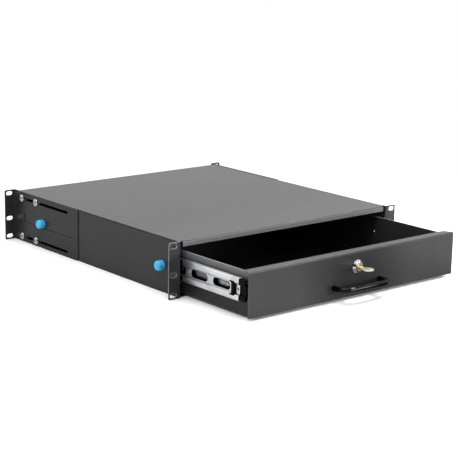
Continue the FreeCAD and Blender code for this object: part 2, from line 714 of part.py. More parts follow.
def rail_studs():
    """Studs riveted flush in the cabinet rail, out through the wall."""
    studs = []
    length = RAIL_SHEET + SHEET + STUD_TAIL
    for y in STUD_YS:
        start = Vector(-BODY_HALF - STUD_TAIL, y, SLIDE_Z)
        studs.append(rod(STUD_RADIUS, start, Vector(length, 0, 0)))
    return group(studs)


def rail_nuts():
    """Nuts on the studs, on the outside of the left wall."""
    nuts = []
    for y in STUD_YS:
        seat = Vector(-BODY_HALF, y, SLIDE_Z)
        nut = hexagon(STUD_NUT_ACROSS, seat, Vector(-STUD_NUT_HEIGHT, 0, 0))
        nuts.append(nut.cut(rod(STUD_RADIUS + FIT_GAP, seat, Vector(-STUD_NUT_HEIGHT, 0, 0))))
    return group(nuts)


def stud_caps():
    """Blunt blue caps pushed over the nuts and the studs' ends."""
    hollow = CAP_RADIUS - CAP_WALL
    profile = [
        (CAP_LENGTH, 0.0),
        (CAP_LENGTH, CAP_RADIUS - CAP_TAPER),
        (0.0, CAP_RADIUS),
        (0.0, hollow),
        (CAP_HOLLOW_DEPTH, hollow),
        (CAP_HOLLOW_DEPTH, 0.0),
    ]
    rounds = [0.0, CAP_ROUND, 0.0, 0.0, 0.0, 0.0]
    caps = [turned(profile, Vector(-BODY_HALF, y, SLIDE_Z), Vector(-1, 0, 0), rounds) for y in STUD_YS]
    return group(caps)


# Drawer.

def drawer_tray():
    """Folded tray: floor, two sides, and the sill and tabs that the front panel is on.

    The floor ends at the rear wall and the sides run on past it.
    """
    front = SHEET
    half = TRAY_HALF
    bottom, top = TRAY_BOTTOM_Z, TRAY_TOP_Z
    bend = RAIL_BEND
    clear = TRAY_SHEET + bend + FIT_GAP
    trough_path = [(-half, top), (-half, bottom), (half, bottom), (half, top)]
    start = front + clear
    run = Vector(0, TRAY_END - start, 0)
    trough = folded(trough_path, TRAY_SHEET, bend, across(start), run)
    front_path = [(front, bottom + TRAY_TAB), (front, bottom), (start, bottom)]
    inner = half - clear
    sill = folded(front_path, TRAY_SHEET, bend, along(-inner), Vector(2 * inner, 0, 0))
    tall = Vector(0, 0, top - bottom - clear)
    tabs = []
    for side in (-1, 1):
        tab_path = [(side * (half - TRAY_TAB), front), (side * half, front), (side * half, start)]
        ordered = tab_path if side == 1 else tab_path[::-1]
        tabs.append(folded(ordered, TRAY_SHEET, bend, level(bottom + clear), tall))
    tray = trough.fuse([sill] + tabs).removeSplitter()
    past_wall = rectangle(-half - FIT_GAP, half + FIT_GAP, bottom - FIT_GAP, bottom + TRAY_SHEET + bend)
    tray = tray.cut(prism(past_wall, across(REAR_WALL_Y), Vector(0, REAR_WALL_FLANGE + FIT_GAP, 0)))
    for place in RIVET_PLACES:
        hole_start = Vector(-half - FIT_GAP, DRAWER_RAIL_START + place, SLIDE_Z)
        tray = tray.cut(rod(RIVET_RADIUS + FIT_GAP, hole_start, Vector(2 * (half + FIT_GAP), 0, 0)))
    return tray


def drawer_rear_wall():
    """Rear wall between the tray's sides, with flanges folded back along them and at its foot."""
    half = TRAY_HALF - TRAY_SHEET
    floor, top = TRAY_BOTTOM_Z, TRAY_TOP_Z
    face = REAR_WALL_Y
    low = floor + TRAY_SHEET + RAIL_BEND + FIT_GAP
    side_path = [(-half, TRAY_END), (-half, face), (half, face), (half, TRAY_END)]
    sides = folded(side_path, TRAY_SHEET, RAIL_BEND, level(low), Vector(0, 0, top - low))
    inner = half - TRAY_SHEET - RAIL_BEND - FIT_GAP
    foot_path = [(face, top), (face, floor), (TRAY_END, floor)]
    foot = folded(foot_path, TRAY_SHEET, RAIL_BEND, along(-inner), Vector(2 * inner, 0, 0))
    return sides.fuse(foot).removeSplitter()


def drawer_front():
    """Front panel with its top edge folded back over the tray, mitred at both ends."""
    face_bottom, face_top = PANEL_BOTTOM_Z, PANEL_TOP_Z
    path = [(PANEL_FLANGE, face_top), (0.0, face_top), (0.0, face_bottom)]
    panel = folded(path, SHEET, SHEET_BEND, along(-PANEL_HALF), Vector(2 * PANEL_HALF, 0, 0))
    under = level(face_top - SHEET - SHEET_BEND - FIT_GAP)
    height = Vector(0, 0, SHEET + SHEET_BEND + 2 * FIT_GAP)
    for side in (-1, 1):
        edge = side * PANEL_HALF
        outer = side * (PANEL_HALF + SHEET)
        bend_end = SHEET + SHEET_BEND
        mitre = [(edge, bend_end), (outer, bend_end), (outer, PANEL_FLANGE + SHEET),
                 (edge - side * PANEL_MITRE, PANEL_FLANGE + SHEET),
                 (edge - side * PANEL_MITRE, PANEL_FLANGE)]
        panel = panel.cut(prism(mitre, under, height))
    lock_hole = rod(LOCK_BARREL_RADIUS + FIT_GAP, Vector(0, -FIT_GAP, LOCK_Z), Vector(0, SHEET + 2 * FIT_GAP, 0))
    flat = LOCK_BARREL_FLAT + FIT_GAP
    reach = 2 * LOCK_BARREL_RADIUS
    window = prism(rectangle(-flat, flat, LOCK_Z - reach, LOCK_Z + reach), across(-SHEET), Vector(0, 3 * SHEET, 0))
    panel = panel.cut(lock_hole.common(window))
    for side in (-1, 1):
        place = Vector(side * HANDLE_PITCH / 2, -FIT_GAP, HANDLE_Z)
        panel = panel.cut(rod(HANDLE_SCREW_RADIUS + FIT_GAP, place, Vector(0, SHEET + 2 * FIT_GAP, 0)))
    return panel


def rail_rivets():
    """Rivets that hold the left drawer rail, with their heads in its channel."""
    rivets = []
    grip = RAIL_SHEET + TRAY_SHEET
    for place in RIVET_PLACES:
        point = slide_plane(DRAWER_RAIL_START + place)
        profile = [
            (-RIVET_HEAD_HEIGHT, 0.0),
            (-RIVET_HEAD_HEIGHT, RIVET_RADIUS),
            (0.0, RIVET_HEAD_RADIUS),
            (0.0, RIVET_RADIUS),
            (grip, RIVET_RADIUS),
            (grip, RIVET_TAIL_RADIUS),
            (grip + RIVET_TAIL_HEIGHT, RIVET_RADIUS),
            (grip + RIVET_TAIL_HEIGHT, 0.0),
        ]
        rivets.append(turned(profile, point(SLIDE_SPACE - RAIL_SHEET, 0.0), Vector(1, 0, 0)))
    return group(rivets)


def handle():
    """Bow handle bent from round rod, with a blind screw hole in each foot."""
    half, bend = HANDLE_PITCH / 2, HANDLE_BEND
    leg = HANDLE_REACH - bend
    parts = [rod(HANDLE_ROD_RADIUS, Vector(bend - half, -HANDLE_REACH, HANDLE_Z), Vector(2 * (half - bend), 0, 0))]
    for side in (-1, 1):
        foot = Vector(side * half, 0, HANDLE_Z)
        parts.append(rod(HANDLE_ROD_RADIUS, foot, Vector(0, -leg, 0)))
        ring = Part.Face(Part.Wire(Part.makeCircle(HANDLE_ROD_RADIUS, foot - Vector(0, leg, 0), Vector(0, 1, 0))))
        pivot = Vector(side * (half - bend), -leg, HANDLE_Z)
        parts.append(ring.revolve(pivot, Vector(0, 0, -side), 90))
    bow = parts[0].fuse(parts[1:])
    for side in (-1, 1):
        hole = rod(HANDLE_SCREW_RADIUS + FIT_GAP, Vector(side * half, 0, HANDLE_Z), Vector(0, -HANDLE_SCREW_GRIP, 0))
        bow = bow.cut(hole)
    return bow


def handle_screws():
    """Pan-head screws from inside the front panel into the handle's feet."""
    screws = []
    for side in (-1, 1):
        seat = Vector(side * HANDLE_PITCH / 2, SHEET, HANDLE_Z)
        head = screw_head(HANDLE_SCREW_HEAD_RADIUS, HANDLE_SCREW_HEAD_HEIGHT, seat, Vector(0, 1, 0))
        grip = HANDLE_SCREW_GRIP - FIT_GAP + SHEET
        screws.append(head.fuse(rod(HANDLE_SCREW_RADIUS, seat, Vector(0, -grip, 0))))
    return group(screws)


# Cam lock. The axis runs along Y at x = 0, z = LOCK_Z.

def lock_point(y):
    return Vector(0, y, LOCK_Z)


def lock_housing():
    """Cone-shaped chrome bezel and flatted barrel, bored for the plug."""
    profile = [
        (0.0, 0.0),
        (LOCK_BEZEL_HEIGHT, 0.0),
        (LOCK_BEZEL_HEIGHT, LOCK_BEZEL_FACE_RADIUS),
        (LOCK_BEZEL_EDGE, LOCK_BEZEL_RADIUS),
        (0.0, LOCK_BEZEL_RADIUS),
    ]
    rounds = [0.0, 0.0, LOCK_BEZEL_ROUND, LOCK_BEZEL_EDGE / 2, 0.0]
    bezel = turned(profile, lock_point(0.0), Vector(0, -1, 0), rounds)
    barrel = rod(LOCK_BARREL_RADIUS, lock_point(0.0), Vector(0, LOCK_BARREL_END, 0))
    reach = 2 * LOCK_BARREL_RADIUS
    flats = rectangle(-LOCK_BARREL_FLAT, LOCK_BARREL_FLAT, LOCK_Z - reach, LOCK_Z + reach)
    barrel = barrel.common(prism(flats, across(-SHEET), Vector(0, LOCK_BARREL_END + 2 * SHEET, 0)))
    bore_start = -LOCK_BEZEL_HEIGHT - FIT_GAP
    bore_length = LOCK_BARREL_END + LOCK_BEZEL_HEIGHT + 2 * FIT_GAP
    bore = rod(LOCK_PLUG_RADIUS + LOCK_RUNNING_GAP, lock_point(bore_start), Vector(0, bore_length, 0))
    counterbore_depth = LOCK_SHOULDER_HEIGHT - LOCK_SHOULDER_PROUD + LOCK_RUNNING_GAP + FIT_GAP
    counterbore = rod(
        LOCK_SHOULDER_RADIUS + LOCK_RUNNING_GAP, lock_point(bore_start), Vector(0, counterbore_depth, 0)
    )
    return bezel.fuse(barrel).removeSplitter().cut(bore).cut(counterbore)


def lock_nut():
    """Hexagonal nut that pulls the bezel against the panel."""
    travel = Vector(0, LOCK_NUT_HEIGHT, 0)
    nut = hexagon(LOCK_NUT_ACROSS, lock_point(SHEET), travel)
    return nut.cut(rod(LOCK_BARREL_RADIUS + FIT_GAP, lock_point(SHEET), travel))


def lock_plug():
    """Turning plug with a proud, keyed face, and a square tail for the cam."""
    face = LOCK_PLUG_FACE
    shoulder = rod(LOCK_SHOULDER_RADIUS, lock_point(face), Vector(0, LOCK_SHOULDER_HEIGHT, 0))
    plug = rod(LOCK_PLUG_RADIUS, lock_point(face), Vector(0, LOCK_BARREL_END - face, 0))
    half = LOCK_TAIL / 2
    tail_section = rectangle(-half, half, LOCK_Z - half, LOCK_Z + half)
    tail = prism(tail_section, across(LOCK_BARREL_END), Vector(0, CAM_SHEET, 0))
    plug = plug.fuse([shoulder, tail]).removeSplitter()
    slot_half, slot_rise = KEY_BLADE_WIDTH / 2 + KEY_GAP, KEY_THICKNESS / 2 + KEY_GAP
    slot_section = rectangle(-slot_half, slot_half, LOCK_Z - slot_rise, LOCK_Z + slot_rise)
    slot_depth = KEY_BLADE_LENGTH + KEY_GAP + FIT_GAP
    keyway = prism(slot_section, across(face - FIT_GAP), Vector(0, slot_depth + FIT_GAP, 0))
    bore_start = CAM_END - CAM_SCREW_GRIP
    bore = rod(CAM_SCREW_RADIUS + FIT_GAP, lock_point(bore_start), Vector(0, CAM_SCREW_GRIP, 0))
    return plug.cut(keyway).cut(bore)


def lock_cam():
    """Flat cam on the plug's tail, pointing aside in the unlocked position."""
    root, tip, width = CAM_WIDTH / 2, CAM_LENGTH, CAM_TIP_WIDTH / 2
    points = [
        (-root, LOCK_Z - root), (root, LOCK_Z - root), (tip, LOCK_Z - width),
        (tip, LOCK_Z + width), (root, LOCK_Z + root), (-root, LOCK_Z + root),
    ]
    radii = [root * 0.9, root / 2, 2.0, 2.0, root / 2, root * 0.9]
    cam = prism(points, across(LOCK_BARREL_END), Vector(0, CAM_SHEET, 0), radii)
    half = LOCK_TAIL / 2 + LOCK_RUNNING_GAP
    square = rectangle(-half, half, LOCK_Z - half, LOCK_Z + half)
    return cam.cut(prism(square, across(LOCK_BARREL_END), Vector(0, CAM_SHEET, 0)))


def cam_screw():
    """Screw that holds the cam on the plug's tail."""
    seat = lock_point(CAM_END)
    head = screw_head(CAM_SCREW_HEAD_RADIUS, CAM_SCREW_HEAD_HEIGHT, seat, Vector(0, 1, 0))
    grip = CAM_SCREW_GRIP - FIT_GAP
    return head.fuse(rod(CAM_SCREW_RADIUS, seat, Vector(0, -grip, 0)))


def key():
    """Flat key with a round bow, lying level, with its blade in the plug."""
    seat = LOCK_PLUG_FACE
    shoulder = seat - KEY_SHOULDER_GAP
    blade_half, neck_half = KEY_BLADE_WIDTH / 2, KEY_NECK_WIDTH / 2
    blade_end = seat + KEY_BLADE_LENGTH
    under = level(LOCK_Z - KEY_THICKNESS / 2)
    height = Vector(0, 0, KEY_THICKNESS)
    neck_end = shoulder - KEY_NECK_LENGTH
    blade_points = [
        (-blade_half, shoulder), (blade_half, shoulder), (blade_half, blade_end - blade_half),
        (0.0, blade_end), (-blade_half, blade_end - blade_half),
    ]
    neck_points = rectangle(-neck_half, neck_half, neck_end, shoulder)
    bow_y = shoulder - KEY_NECK_LENGTH - KEY_BOW_RADIUS + (
        KEY_BOW_RADIUS - math.sqrt(KEY_BOW_RADIUS ** 2 - neck_half ** 2)
    )
    bow = rod(KEY_BOW_RADIUS, under(0.0, bow_y), height)
    body = prism(blade_points, under, height).fuse([prism(neck_points, under, height), bow])
    body = body.removeSplitter()
    ring = rod(KEY_RING_RADIUS, under(0.0, bow_y - KEY_RING_BACK), height)
    body = body.cut(ring)
    pitch = (KEY_BLADE_LENGTH - KEY_BLADE_WIDTH) / KEY_NOTCHES
    for index in range(KEY_NOTCHES):
        y = seat + KEY_NOTCH_WIDTH + pitch * (index + 0.5)
        notch = [
            (blade_half + FIT_GAP, y - KEY_NOTCH_WIDTH),
            (blade_half + FIT_GAP, y + KEY_NOTCH_WIDTH),
            (blade_half - KEY_NOTCH_DEPTH, y),
        ]
        body = body.cut(prism(notch, under, height))
    return body


# Assembly.

def build():
    """All sub-parts by name, in their resting places."""
    parts = {
        "cabinet_cover": cabinet_cover(),
        "cabinet_rear_panel": cabinet_rear_panel(),
        "lock_strike": lock_strike(),
    }
    fixed_pairs = {
        "cabinet_side": cabinet_side,
        "rear_bracket": rear_bracket,
        "bracket_screws": bracket_screws,
        "bracket_weld_nuts": bracket_nuts,
        "slide_cabinet_rail": cabinet_rail,
        "slide_rear_buffer": rear_buffer,
        "slide_studs": rail_studs,
        "slide_stud_nuts": rail_nuts,
        "stud_caps": stud_caps,
    }
    cage_pairs = {
        "slide_outer_cage": outer_cage,
        "slide_outer_balls": lambda: ball_rows(
            OUTER_CAGE_START, OUTER_BALL_DEPTH, OUTER_BALL_RISE, OUTER_BALL_RADIUS
        ),
    }
    drawn_pairs = {
        "slide_middle_rail": middle_rail,
        "slide_middle_clip": middle_clip,
        "slide_inner_cage": inner_cage,
        "slide_inner_balls": lambda: ball_rows(
            INNER_CAGE_START, INNER_BALL_DEPTH, INNER_BALL_RISE, INNER_BALL_RADIUS
        ),
        "slide_drawer_rail": drawer_rail,
        "slide_front_bumper": front_bumper,
        "drawer_rail_rivets": rail_rivets,
    }
    drawn_singles = {
        "drawer_tray": drawer_tray,
        "drawer_rear_wall": drawer_rear_wall,
        "drawer_front_panel": drawer_front,
        "handle": handle,
        "handle_screws": handle_screws,
        "lock_housing": lock_housing,
        "lock_nut": lock_nut,
        "lock_plug": lock_plug,
        "lock_cam": lock_cam,
        "lock_cam_screw": cam_screw,
        "key": key,
    }
    pulls = ((fixed_pairs, 0.0), (cage_pairs, DRAWER_OPENING / 2), (drawn_pairs, DRAWER_OPENING))
    for pairs, pull in pulls:
        for name, make in pairs.items():
            left = drawn_out(make(), pull)
            parts[name + "_left"] = left
            parts[name + "_right"] = mirrored(left)
    for name, make in drawn_singles.items():
        parts[name] = drawn_out(make(), DRAWER_OPENING)
    return parts


def main():
    os.makedirs("parts", exist_ok=True)
    for name, shape in build().items():
        shape.exportStep("parts/" + name + ".step")
        print(name, len(shape.Solids), round(shape.Volume, 1))


main()
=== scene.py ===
"""Finishes, drawn hardware and studio for the sliding rack drawer."""
import json
import logging
import math
from dataclasses import dataclass, field
from enum import Enum

import bpy
from mathutils import Matrix, Vector

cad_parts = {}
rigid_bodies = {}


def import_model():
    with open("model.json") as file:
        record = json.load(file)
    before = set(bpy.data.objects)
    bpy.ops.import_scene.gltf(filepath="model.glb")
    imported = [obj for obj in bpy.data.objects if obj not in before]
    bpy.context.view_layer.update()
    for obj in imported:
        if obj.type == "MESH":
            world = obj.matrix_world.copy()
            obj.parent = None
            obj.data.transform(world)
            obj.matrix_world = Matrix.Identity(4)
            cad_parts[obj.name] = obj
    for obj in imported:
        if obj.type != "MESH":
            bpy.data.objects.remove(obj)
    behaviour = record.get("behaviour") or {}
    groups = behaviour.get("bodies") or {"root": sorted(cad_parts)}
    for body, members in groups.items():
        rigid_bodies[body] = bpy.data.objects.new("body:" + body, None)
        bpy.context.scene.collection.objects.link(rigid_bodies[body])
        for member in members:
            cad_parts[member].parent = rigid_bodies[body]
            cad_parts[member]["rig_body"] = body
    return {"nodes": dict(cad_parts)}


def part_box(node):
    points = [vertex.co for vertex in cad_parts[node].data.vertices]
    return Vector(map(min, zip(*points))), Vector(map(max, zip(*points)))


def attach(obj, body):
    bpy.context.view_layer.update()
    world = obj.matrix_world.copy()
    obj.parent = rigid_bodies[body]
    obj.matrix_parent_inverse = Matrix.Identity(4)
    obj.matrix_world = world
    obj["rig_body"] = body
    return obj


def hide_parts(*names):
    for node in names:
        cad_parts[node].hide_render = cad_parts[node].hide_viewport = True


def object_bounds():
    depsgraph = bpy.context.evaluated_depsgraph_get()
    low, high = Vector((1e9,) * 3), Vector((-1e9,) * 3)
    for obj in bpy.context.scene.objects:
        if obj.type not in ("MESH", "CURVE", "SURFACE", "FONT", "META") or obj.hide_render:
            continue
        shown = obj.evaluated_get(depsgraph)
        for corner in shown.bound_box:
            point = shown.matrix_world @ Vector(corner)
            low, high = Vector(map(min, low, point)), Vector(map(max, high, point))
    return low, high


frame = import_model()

CAD_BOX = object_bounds()
LOG = logging.getLogger("rack_drawer")
MM = 0.001

# What the type hints call a linear colour, a pair of limits, and a round piece's (advance, radius) rings.
Colour = tuple[float, float, float, float]
Span = tuple[float, float]
Rings = tuple[tuple[float, float], ...]

# The sRGB curve: a straight toe, and a power above it.
SRGB_TOP = 255
TOE_END = 0.04045
TOE_SLOPE = 12.92
CURVE_OFFSET = 0.055
CURVE_POWER = 2.4

# A Mix node's sockets go by number, because several share one name.
FACTOR = 0
FLOAT_A, FLOAT_B = 2, 3
COLOUR_A, COLOUR_B, MIXED_COLOUR = 6, 7, 2

WHITE = "#ffffff"

# What counts as one corner, as flat, as a sharp edge and as smooth, and the steps of a rounding.
MERGE_MM = 0.002
FLAT_BELOW_DEG = 0.6
SHARP_ABOVE_DEG = 38.0
SMOOTH_BELOW_DEG = 50.0
EDGE_STEPS = 2


def linear(hex_colour: str) -> Colour:
    """Turn an sRGB hex colour into linear RGBA.

    Args:
        hex_colour: six hex digits after a hash.

    Returns:
        Red, green, blue and an alpha of 1, in linear light.
    """
    channels = [int(hex_colour[i:i + 2], 16) / SRGB_TOP for i in (1, 3, 5)]
    curve = [c / TOE_SLOPE if c <= TOE_END else ((c + CURVE_OFFSET) / (1.0 + CURVE_OFFSET)) ** CURVE_POWER
             for c in channels]
    return curve[0], curve[1], curve[2], 1.0


def add_node(tree: bpy.types.NodeTree, kind: str, settings: dict | None = None,
             inputs: dict | None = None) -> bpy.types.Node:
    """Add one node to a tree, set it up and link it.

    Args:
        tree: the node tree that gets the node.
        kind: the node's Blender type name.
        settings: attributes of the node and their values.
        inputs: values or output sockets by input name or number.

    Returns:
        The new node.
    """
    node = tree.nodes.new(kind)
    for name, value in (settings or {}).items():
        setattr(node, name, value)
    for key, value in (inputs or {}).items():
        if isinstance(value, bpy.types.NodeSocket):
            tree.links.new(value, node.inputs[key])
        else:
            node.inputs[key].default_value = value
    return node


class Axis(Enum):
    """An axis of the object, with its unit vector."""

    X = (1.0, 0.0, 0.0)
    Y = (0.0, 1.0, 0.0)
    Z = (0.0, 0.0, 1.0)


class Side(Enum):
    """A side of the cabinet, with the sign of its X."""

    LEFT = -1.0
    RIGHT = 1.0

    @property
    def word(self) -> str:
        """The side's word in a node's name."""
        return self.name.lower()

    @property
    def outward(self) -> Vector:
        """The direction out of the cabinet on this side."""
        return Vector((self.value, 0.0, 0.0))


# Finishes.

# The cosine between a rounded normal and the face's own, where an edge starts and where it is full.
EDGE_STARTS = 0.98
EDGE_IS_FULL = 0.78
EDGE_SAMPLES = 4
CORNER_SAMPLES = 8


@dataclass(frozen=True)
class Zone:
    """A band of the object, by its distance from the origin along one axis."""

    axis: Axis
    none_at_mm: float
    full_at_mm: float
    both_ways: bool = True

    def mask(self, tree: bpy.types.NodeTree, place: bpy.types.NodeSocket) -> bpy.types.NodeSocket:
        """Build the band's mask: 0 outside it, 1 inside.

        Args:
            tree: the material's node tree.
            place: the object coordinates.

        Returns:
            The mask's socket.
        """
        along = add_node(tree, "ShaderNodeVectorMath", {"operation": "DOT_PRODUCT"}, {
            0: place, 1: self.axis.value})
        away = along.outputs["Value"]
        if self.both_ways:
            away = add_node(tree, "ShaderNodeMath", {"operation": "ABSOLUTE"}, {0: away}).outputs[0]
        ramp = add_node(tree, "ShaderNodeMapRange", None, {
            "Value": away, "From Min": self.none_at_mm * MM, "From Max": self.full_at_mm * MM})
        return ramp.outputs["Result"]


def inside(tree: bpy.types.NodeTree, place: bpy.types.NodeSocket,
           zones: tuple[Zone, ...]) -> bpy.types.NodeSocket:
    """Build the mask of what lies inside every one of some zones.

    Args:
        tree: the material's node tree.
        place: the object coordinates.
        zones: the zones.

    Returns:
        The mask's socket.
    """
    mask = zones[0].mask(tree, place)
    for zone in zones[1:]:
        mask = add_node(tree, "ShaderNodeMath", {"operation": "MULTIPLY"}, {
            0: mask, 1: zone.mask(tree, place)}).outputs[0]
    return mask


@dataclass(frozen=True)
class PaintedLightAndShade:
    """Painted light and shade on a coat: another colour inside every one of its zones."""

    colour: str
    zones: tuple[Zone, ...]

    def over(self, tree: bpy.types.NodeTree, place: bpy.types.NodeSocket,
             base: bpy.types.NodeSocket | Colour) -> bpy.types.NodeSocket:
        """Lay the painted patch over a colour.

        Args:
            tree: the material's node tree.
            place: the object coordinates.
            base: the colour below.

        Returns:
            The mixed colour's socket.
        """
        return add_node(tree, "ShaderNodeMix", {"data_type": "RGBA"}, {
            FACTOR: inside(tree, place, self.zones), COLOUR_A: base,
            COLOUR_B: linear(self.colour)}).outputs[MIXED_COLOUR]


@dataclass(frozen=True)
class Finish:
    """What every finish has: a name, and a shader built on object coordinates.

    A span holds the two values of a pattern between which an effect grows from none to full.
    """

    name: str

    def start(self) -> tuple[bpy.types.Material, bpy.types.NodeTree, bpy.types.Node, bpy.types.NodeSocket]:
        """Make an empty material with its Principled shader.

        Returns:
            The material, its tree, the Principled shader and the object coordinates.
        """
        material = bpy.data.materials.new(self.name)
        material.use_nodes = True
        tree = material.node_tree
        tree.nodes.clear()
        shader = add_node(tree, "ShaderNodeBsdfPrincipled")
        add_node(tree, "ShaderNodeOutputMaterial", inputs={"Surface": shader.outputs[0]})
        place = add_node(tree, "ShaderNodeTexCoord").outputs["Object"]
        return material, tree, shader, place

    def edge_mask(self, tree: bpy.types.NodeTree, radius: float) -> bpy.types.NodeSocket:
        """Find sharp edges: 1 on an edge, 0 on flat metal.

        Args:
            tree: the material's node tree.
            radius: how far the edge reaches, in metres.

        Returns:
            The mask's socket.
        """
        rounded = add_node(tree, "ShaderNodeBevel", {"samples": EDGE_SAMPLES}, {"Radius": radius})
        plain = add_node(tree, "ShaderNodeNewGeometry")
        facing = add_node(tree, "ShaderNodeVectorMath", {"operation": "DOT_PRODUCT"},
                          {0: rounded.outputs[0], 1: plain.outputs["Normal"]})
        ramp = add_node(tree, "ShaderNodeMapRange", None, {
            "Value": facing.outputs["Value"], "From Min": EDGE_STARTS, "From Max": EDGE_IS_FULL})
        return ramp.outputs["Result"]


@dataclass(frozen=True)
class PowderCoat(Finish):
    """Fine-textured polyester powder coat, sprayed and baked on steel sheet.

    The baked powder leaves a pebbled skin that scatters light softly. It is
    thinnest on the sheet's edges, where wear turns it pale first; the pale edges
    are also a painted highlight, the glint of a rounded edge. Patches of painted
    light and shade can be laid over the coat's own colour.
    """

    colour: str = "#2a2a2b"
    worn_colour: str = "#9c9c9e"
    edge_mm: float = 0.8
    pebble_mm: float = 0.9
    clump_mm: float = 1.4
    mottle_mm: float = 9.0
    roughness: float = 0.31
    roughness_swing: float = 0.008
    mottle_span: Span = (0.3, 0.7)
    pebble_height_mm: float = 0.045
    pebble_strength: float = 0.7
    speck_span: Span = (0.35, 0.7)
    speck_share: float = 0.045
    ior: float = 1.28
    worn_zone: Zone | None = None
    rubs: tuple[PaintedLightAndShade, ...] = ()

    def build(self) -> bpy.types.Material:
        """Build the coat's material.

        Returns:
            The material.
        """
        material, tree, shader, place = self.start()
        # Real pebbles are about 0.3 mm; they are drawn at 0.9 mm so that they show.
        pebbles = add_node(tree, "ShaderNodeTexNoise", None, {
            "Vector": place, "Scale": 1.0 / (self.pebble_mm * MM), "Detail": 3.0, "Roughness": 0.6})
        mottle = add_node(tree, "ShaderNodeTexNoise", None, {
            "Vector": place, "Scale": 1.0 / (self.mottle_mm * MM), "Detail": 2.0})
        clumps = add_node(tree, "ShaderNodeTexNoise", None, {
            "Vector": place, "Scale": 1.0 / (self.clump_mm * MM), "Detail": 2.0})
        # Pale edges: partly worn coat, partly a painted highlight where a rounded edge catches light.
        edge = self.edge_mask(tree, self.edge_mm * MM)
        if self.worn_zone:
            edge = add_node(tree, "ShaderNodeMath", {"operation": "MULTIPLY"}, {
                0: edge, 1: self.worn_zone.mask(tree, place)}).outputs[0]
        # Patches of painted light and shade go over the coat's own colour.
        base: bpy.types.NodeSocket | Colour = linear(self.colour)
        for painted_patch in self.rubs:
            base = painted_patch.over(tree, place, base)
        speck = add_node(tree, "ShaderNodeMapRange", None, {
            "Value": clumps.outputs[0], "From Min": self.speck_span[0], "From Max": self.speck_span[1],
            "To Max": self.speck_share})
        blend = add_node(tree, "ShaderNodeMath", {"operation": "MAXIMUM"}, {0: speck.outputs[0], 1: edge})
        colour = add_node(tree, "ShaderNodeMix", {"data_type": "RGBA"}, {
            FACTOR: blend.outputs[0], COLOUR_A: base, COLOUR_B: linear(self.worn_colour)})
        shine = add_node(tree, "ShaderNodeMapRange", None, {
            "Value": mottle.outputs[0], "From Min": self.mottle_span[0], "From Max": self.mottle_span[1],
            "To Min": self.roughness - self.roughness_swing, "To Max": self.roughness + self.roughness_swing})
        bump = add_node(tree, "ShaderNodeBump", None, {
            "Height": pebbles.outputs[0], "Distance": self.pebble_height_mm * MM,
            "Strength": self.pebble_strength})
        tree.links.new(colour.outputs[MIXED_COLOUR], shader.inputs["Base Color"])
        tree.links.new(shine.outputs[0], shader.inputs["Roughness"])
        tree.links.new(bump.outputs[0], shader.inputs["Normal"])
        shader.inputs["IOR"].default_value = self.ior
        return material


@dataclass(frozen=True)
class ZincPlate(Finish):
    """Bright zinc plate on rolled steel strip.

    The strip's rolling marks run along it and show through the thin plate, and
    the passivated zinc has faint cloudy patches. Its corners, and the gaps where
    members nearly touch, can be painted dark: painted shade.
    """

    colour: str = "#e3e5e6"
    cloud_colour: str = "#c9cdd0"
    roughness: float = 0.31
    line_smoother: float = 0.04
    line_rougher: float = 0.08
    line_span: Span = (0.3, 0.7)
    along: Axis = Axis.Y
    drawn_out: float = 0.98
    line_mm: float = 0.5
    line_height_mm: float = 0.006
    line_strength: float = 0.4
    cloud_mm: float = 22.0
    cloud_span: Span = (0.4, 0.7)
    grease_mm: float = 0.0
    grease_span: Span = (0.88, 0.66)
    grease_colour: str = "#1b1a17"

    def build(self) -> bpy.types.Material:
        """Build the plate's material.

        Returns:
            The material.
        """
        material, tree, shader, place = self.start()
        stretch = [1.0 - self.drawn_out * part for part in self.along.value]
        rolled = add_node(tree, "ShaderNodeMapping", None, {"Vector": place, "Scale": stretch})
        # Rolling marks are finer than 0.1 mm; they are drawn at 0.5 mm or more so that they show.
        lines = add_node(tree, "ShaderNodeTexNoise", None, {
            "Vector": rolled.outputs[0], "Scale": 1.0 / (self.line_mm * MM),
            "Detail": 4.0, "Roughness": 0.65})
        clouds = add_node(tree, "ShaderNodeTexNoise", None, {
            "Vector": place, "Scale": 1.0 / (self.cloud_mm * MM), "Detail": 3.0})
        patch = add_node(tree, "ShaderNodeMapRange", None, {
            "Value": clouds.outputs[0], "From Min": self.cloud_span[0], "From Max": self.cloud_span[1]})
        colour = add_node(tree, "ShaderNodeMix", {"data_type": "RGBA"}, {
            FACTOR: patch.outputs[0], COLOUR_A: linear(self.colour), COLOUR_B: linear(self.cloud_colour)})
        if self.grease_mm:
            # Painted shade: corners and the places where members nearly touch are darkened by how occluded
            # they are.
            corner = add_node(tree, "ShaderNodeAmbientOcclusion", {"samples": CORNER_SAMPLES}, {
                "Distance": self.grease_mm * MM})
            painted_shade = add_node(tree, "ShaderNodeMapRange", None, {
                "Value": corner.outputs["AO"],
                "From Min": self.grease_span[0], "From Max": self.grease_span[1]})
            colour = add_node(tree, "ShaderNodeMix", {"data_type": "RGBA"}, {
                FACTOR: painted_shade.outputs[0], COLOUR_A: colour.outputs[MIXED_COLOUR],
                COLOUR_B: linear(self.grease_colour)})
        shine = add_node(tree, "ShaderNodeMapRange", None, {
            "Value": lines.outputs[0], "From Min": self.line_span[0], "From Max": self.line_span[1],
            "To Min": self.roughness - self.line_smoother, "To Max": self.roughness + self.line_rougher})
        bump = add_node(tree, "ShaderNodeBump", None, {
            "Height": lines.outputs[0], "Distance": self.line_height_mm * MM, "Strength": self.line_strength})
        tree.links.new(colour.outputs[MIXED_COLOUR], shader.inputs["Base Color"])
        tree.links.new(shine.outputs[0], shader.inputs["Roughness"])
        tree.links.new(bump.outputs[0], shader.inputs["Normal"])
        shader.inputs["Metallic"].default_value = 1.0
        return material


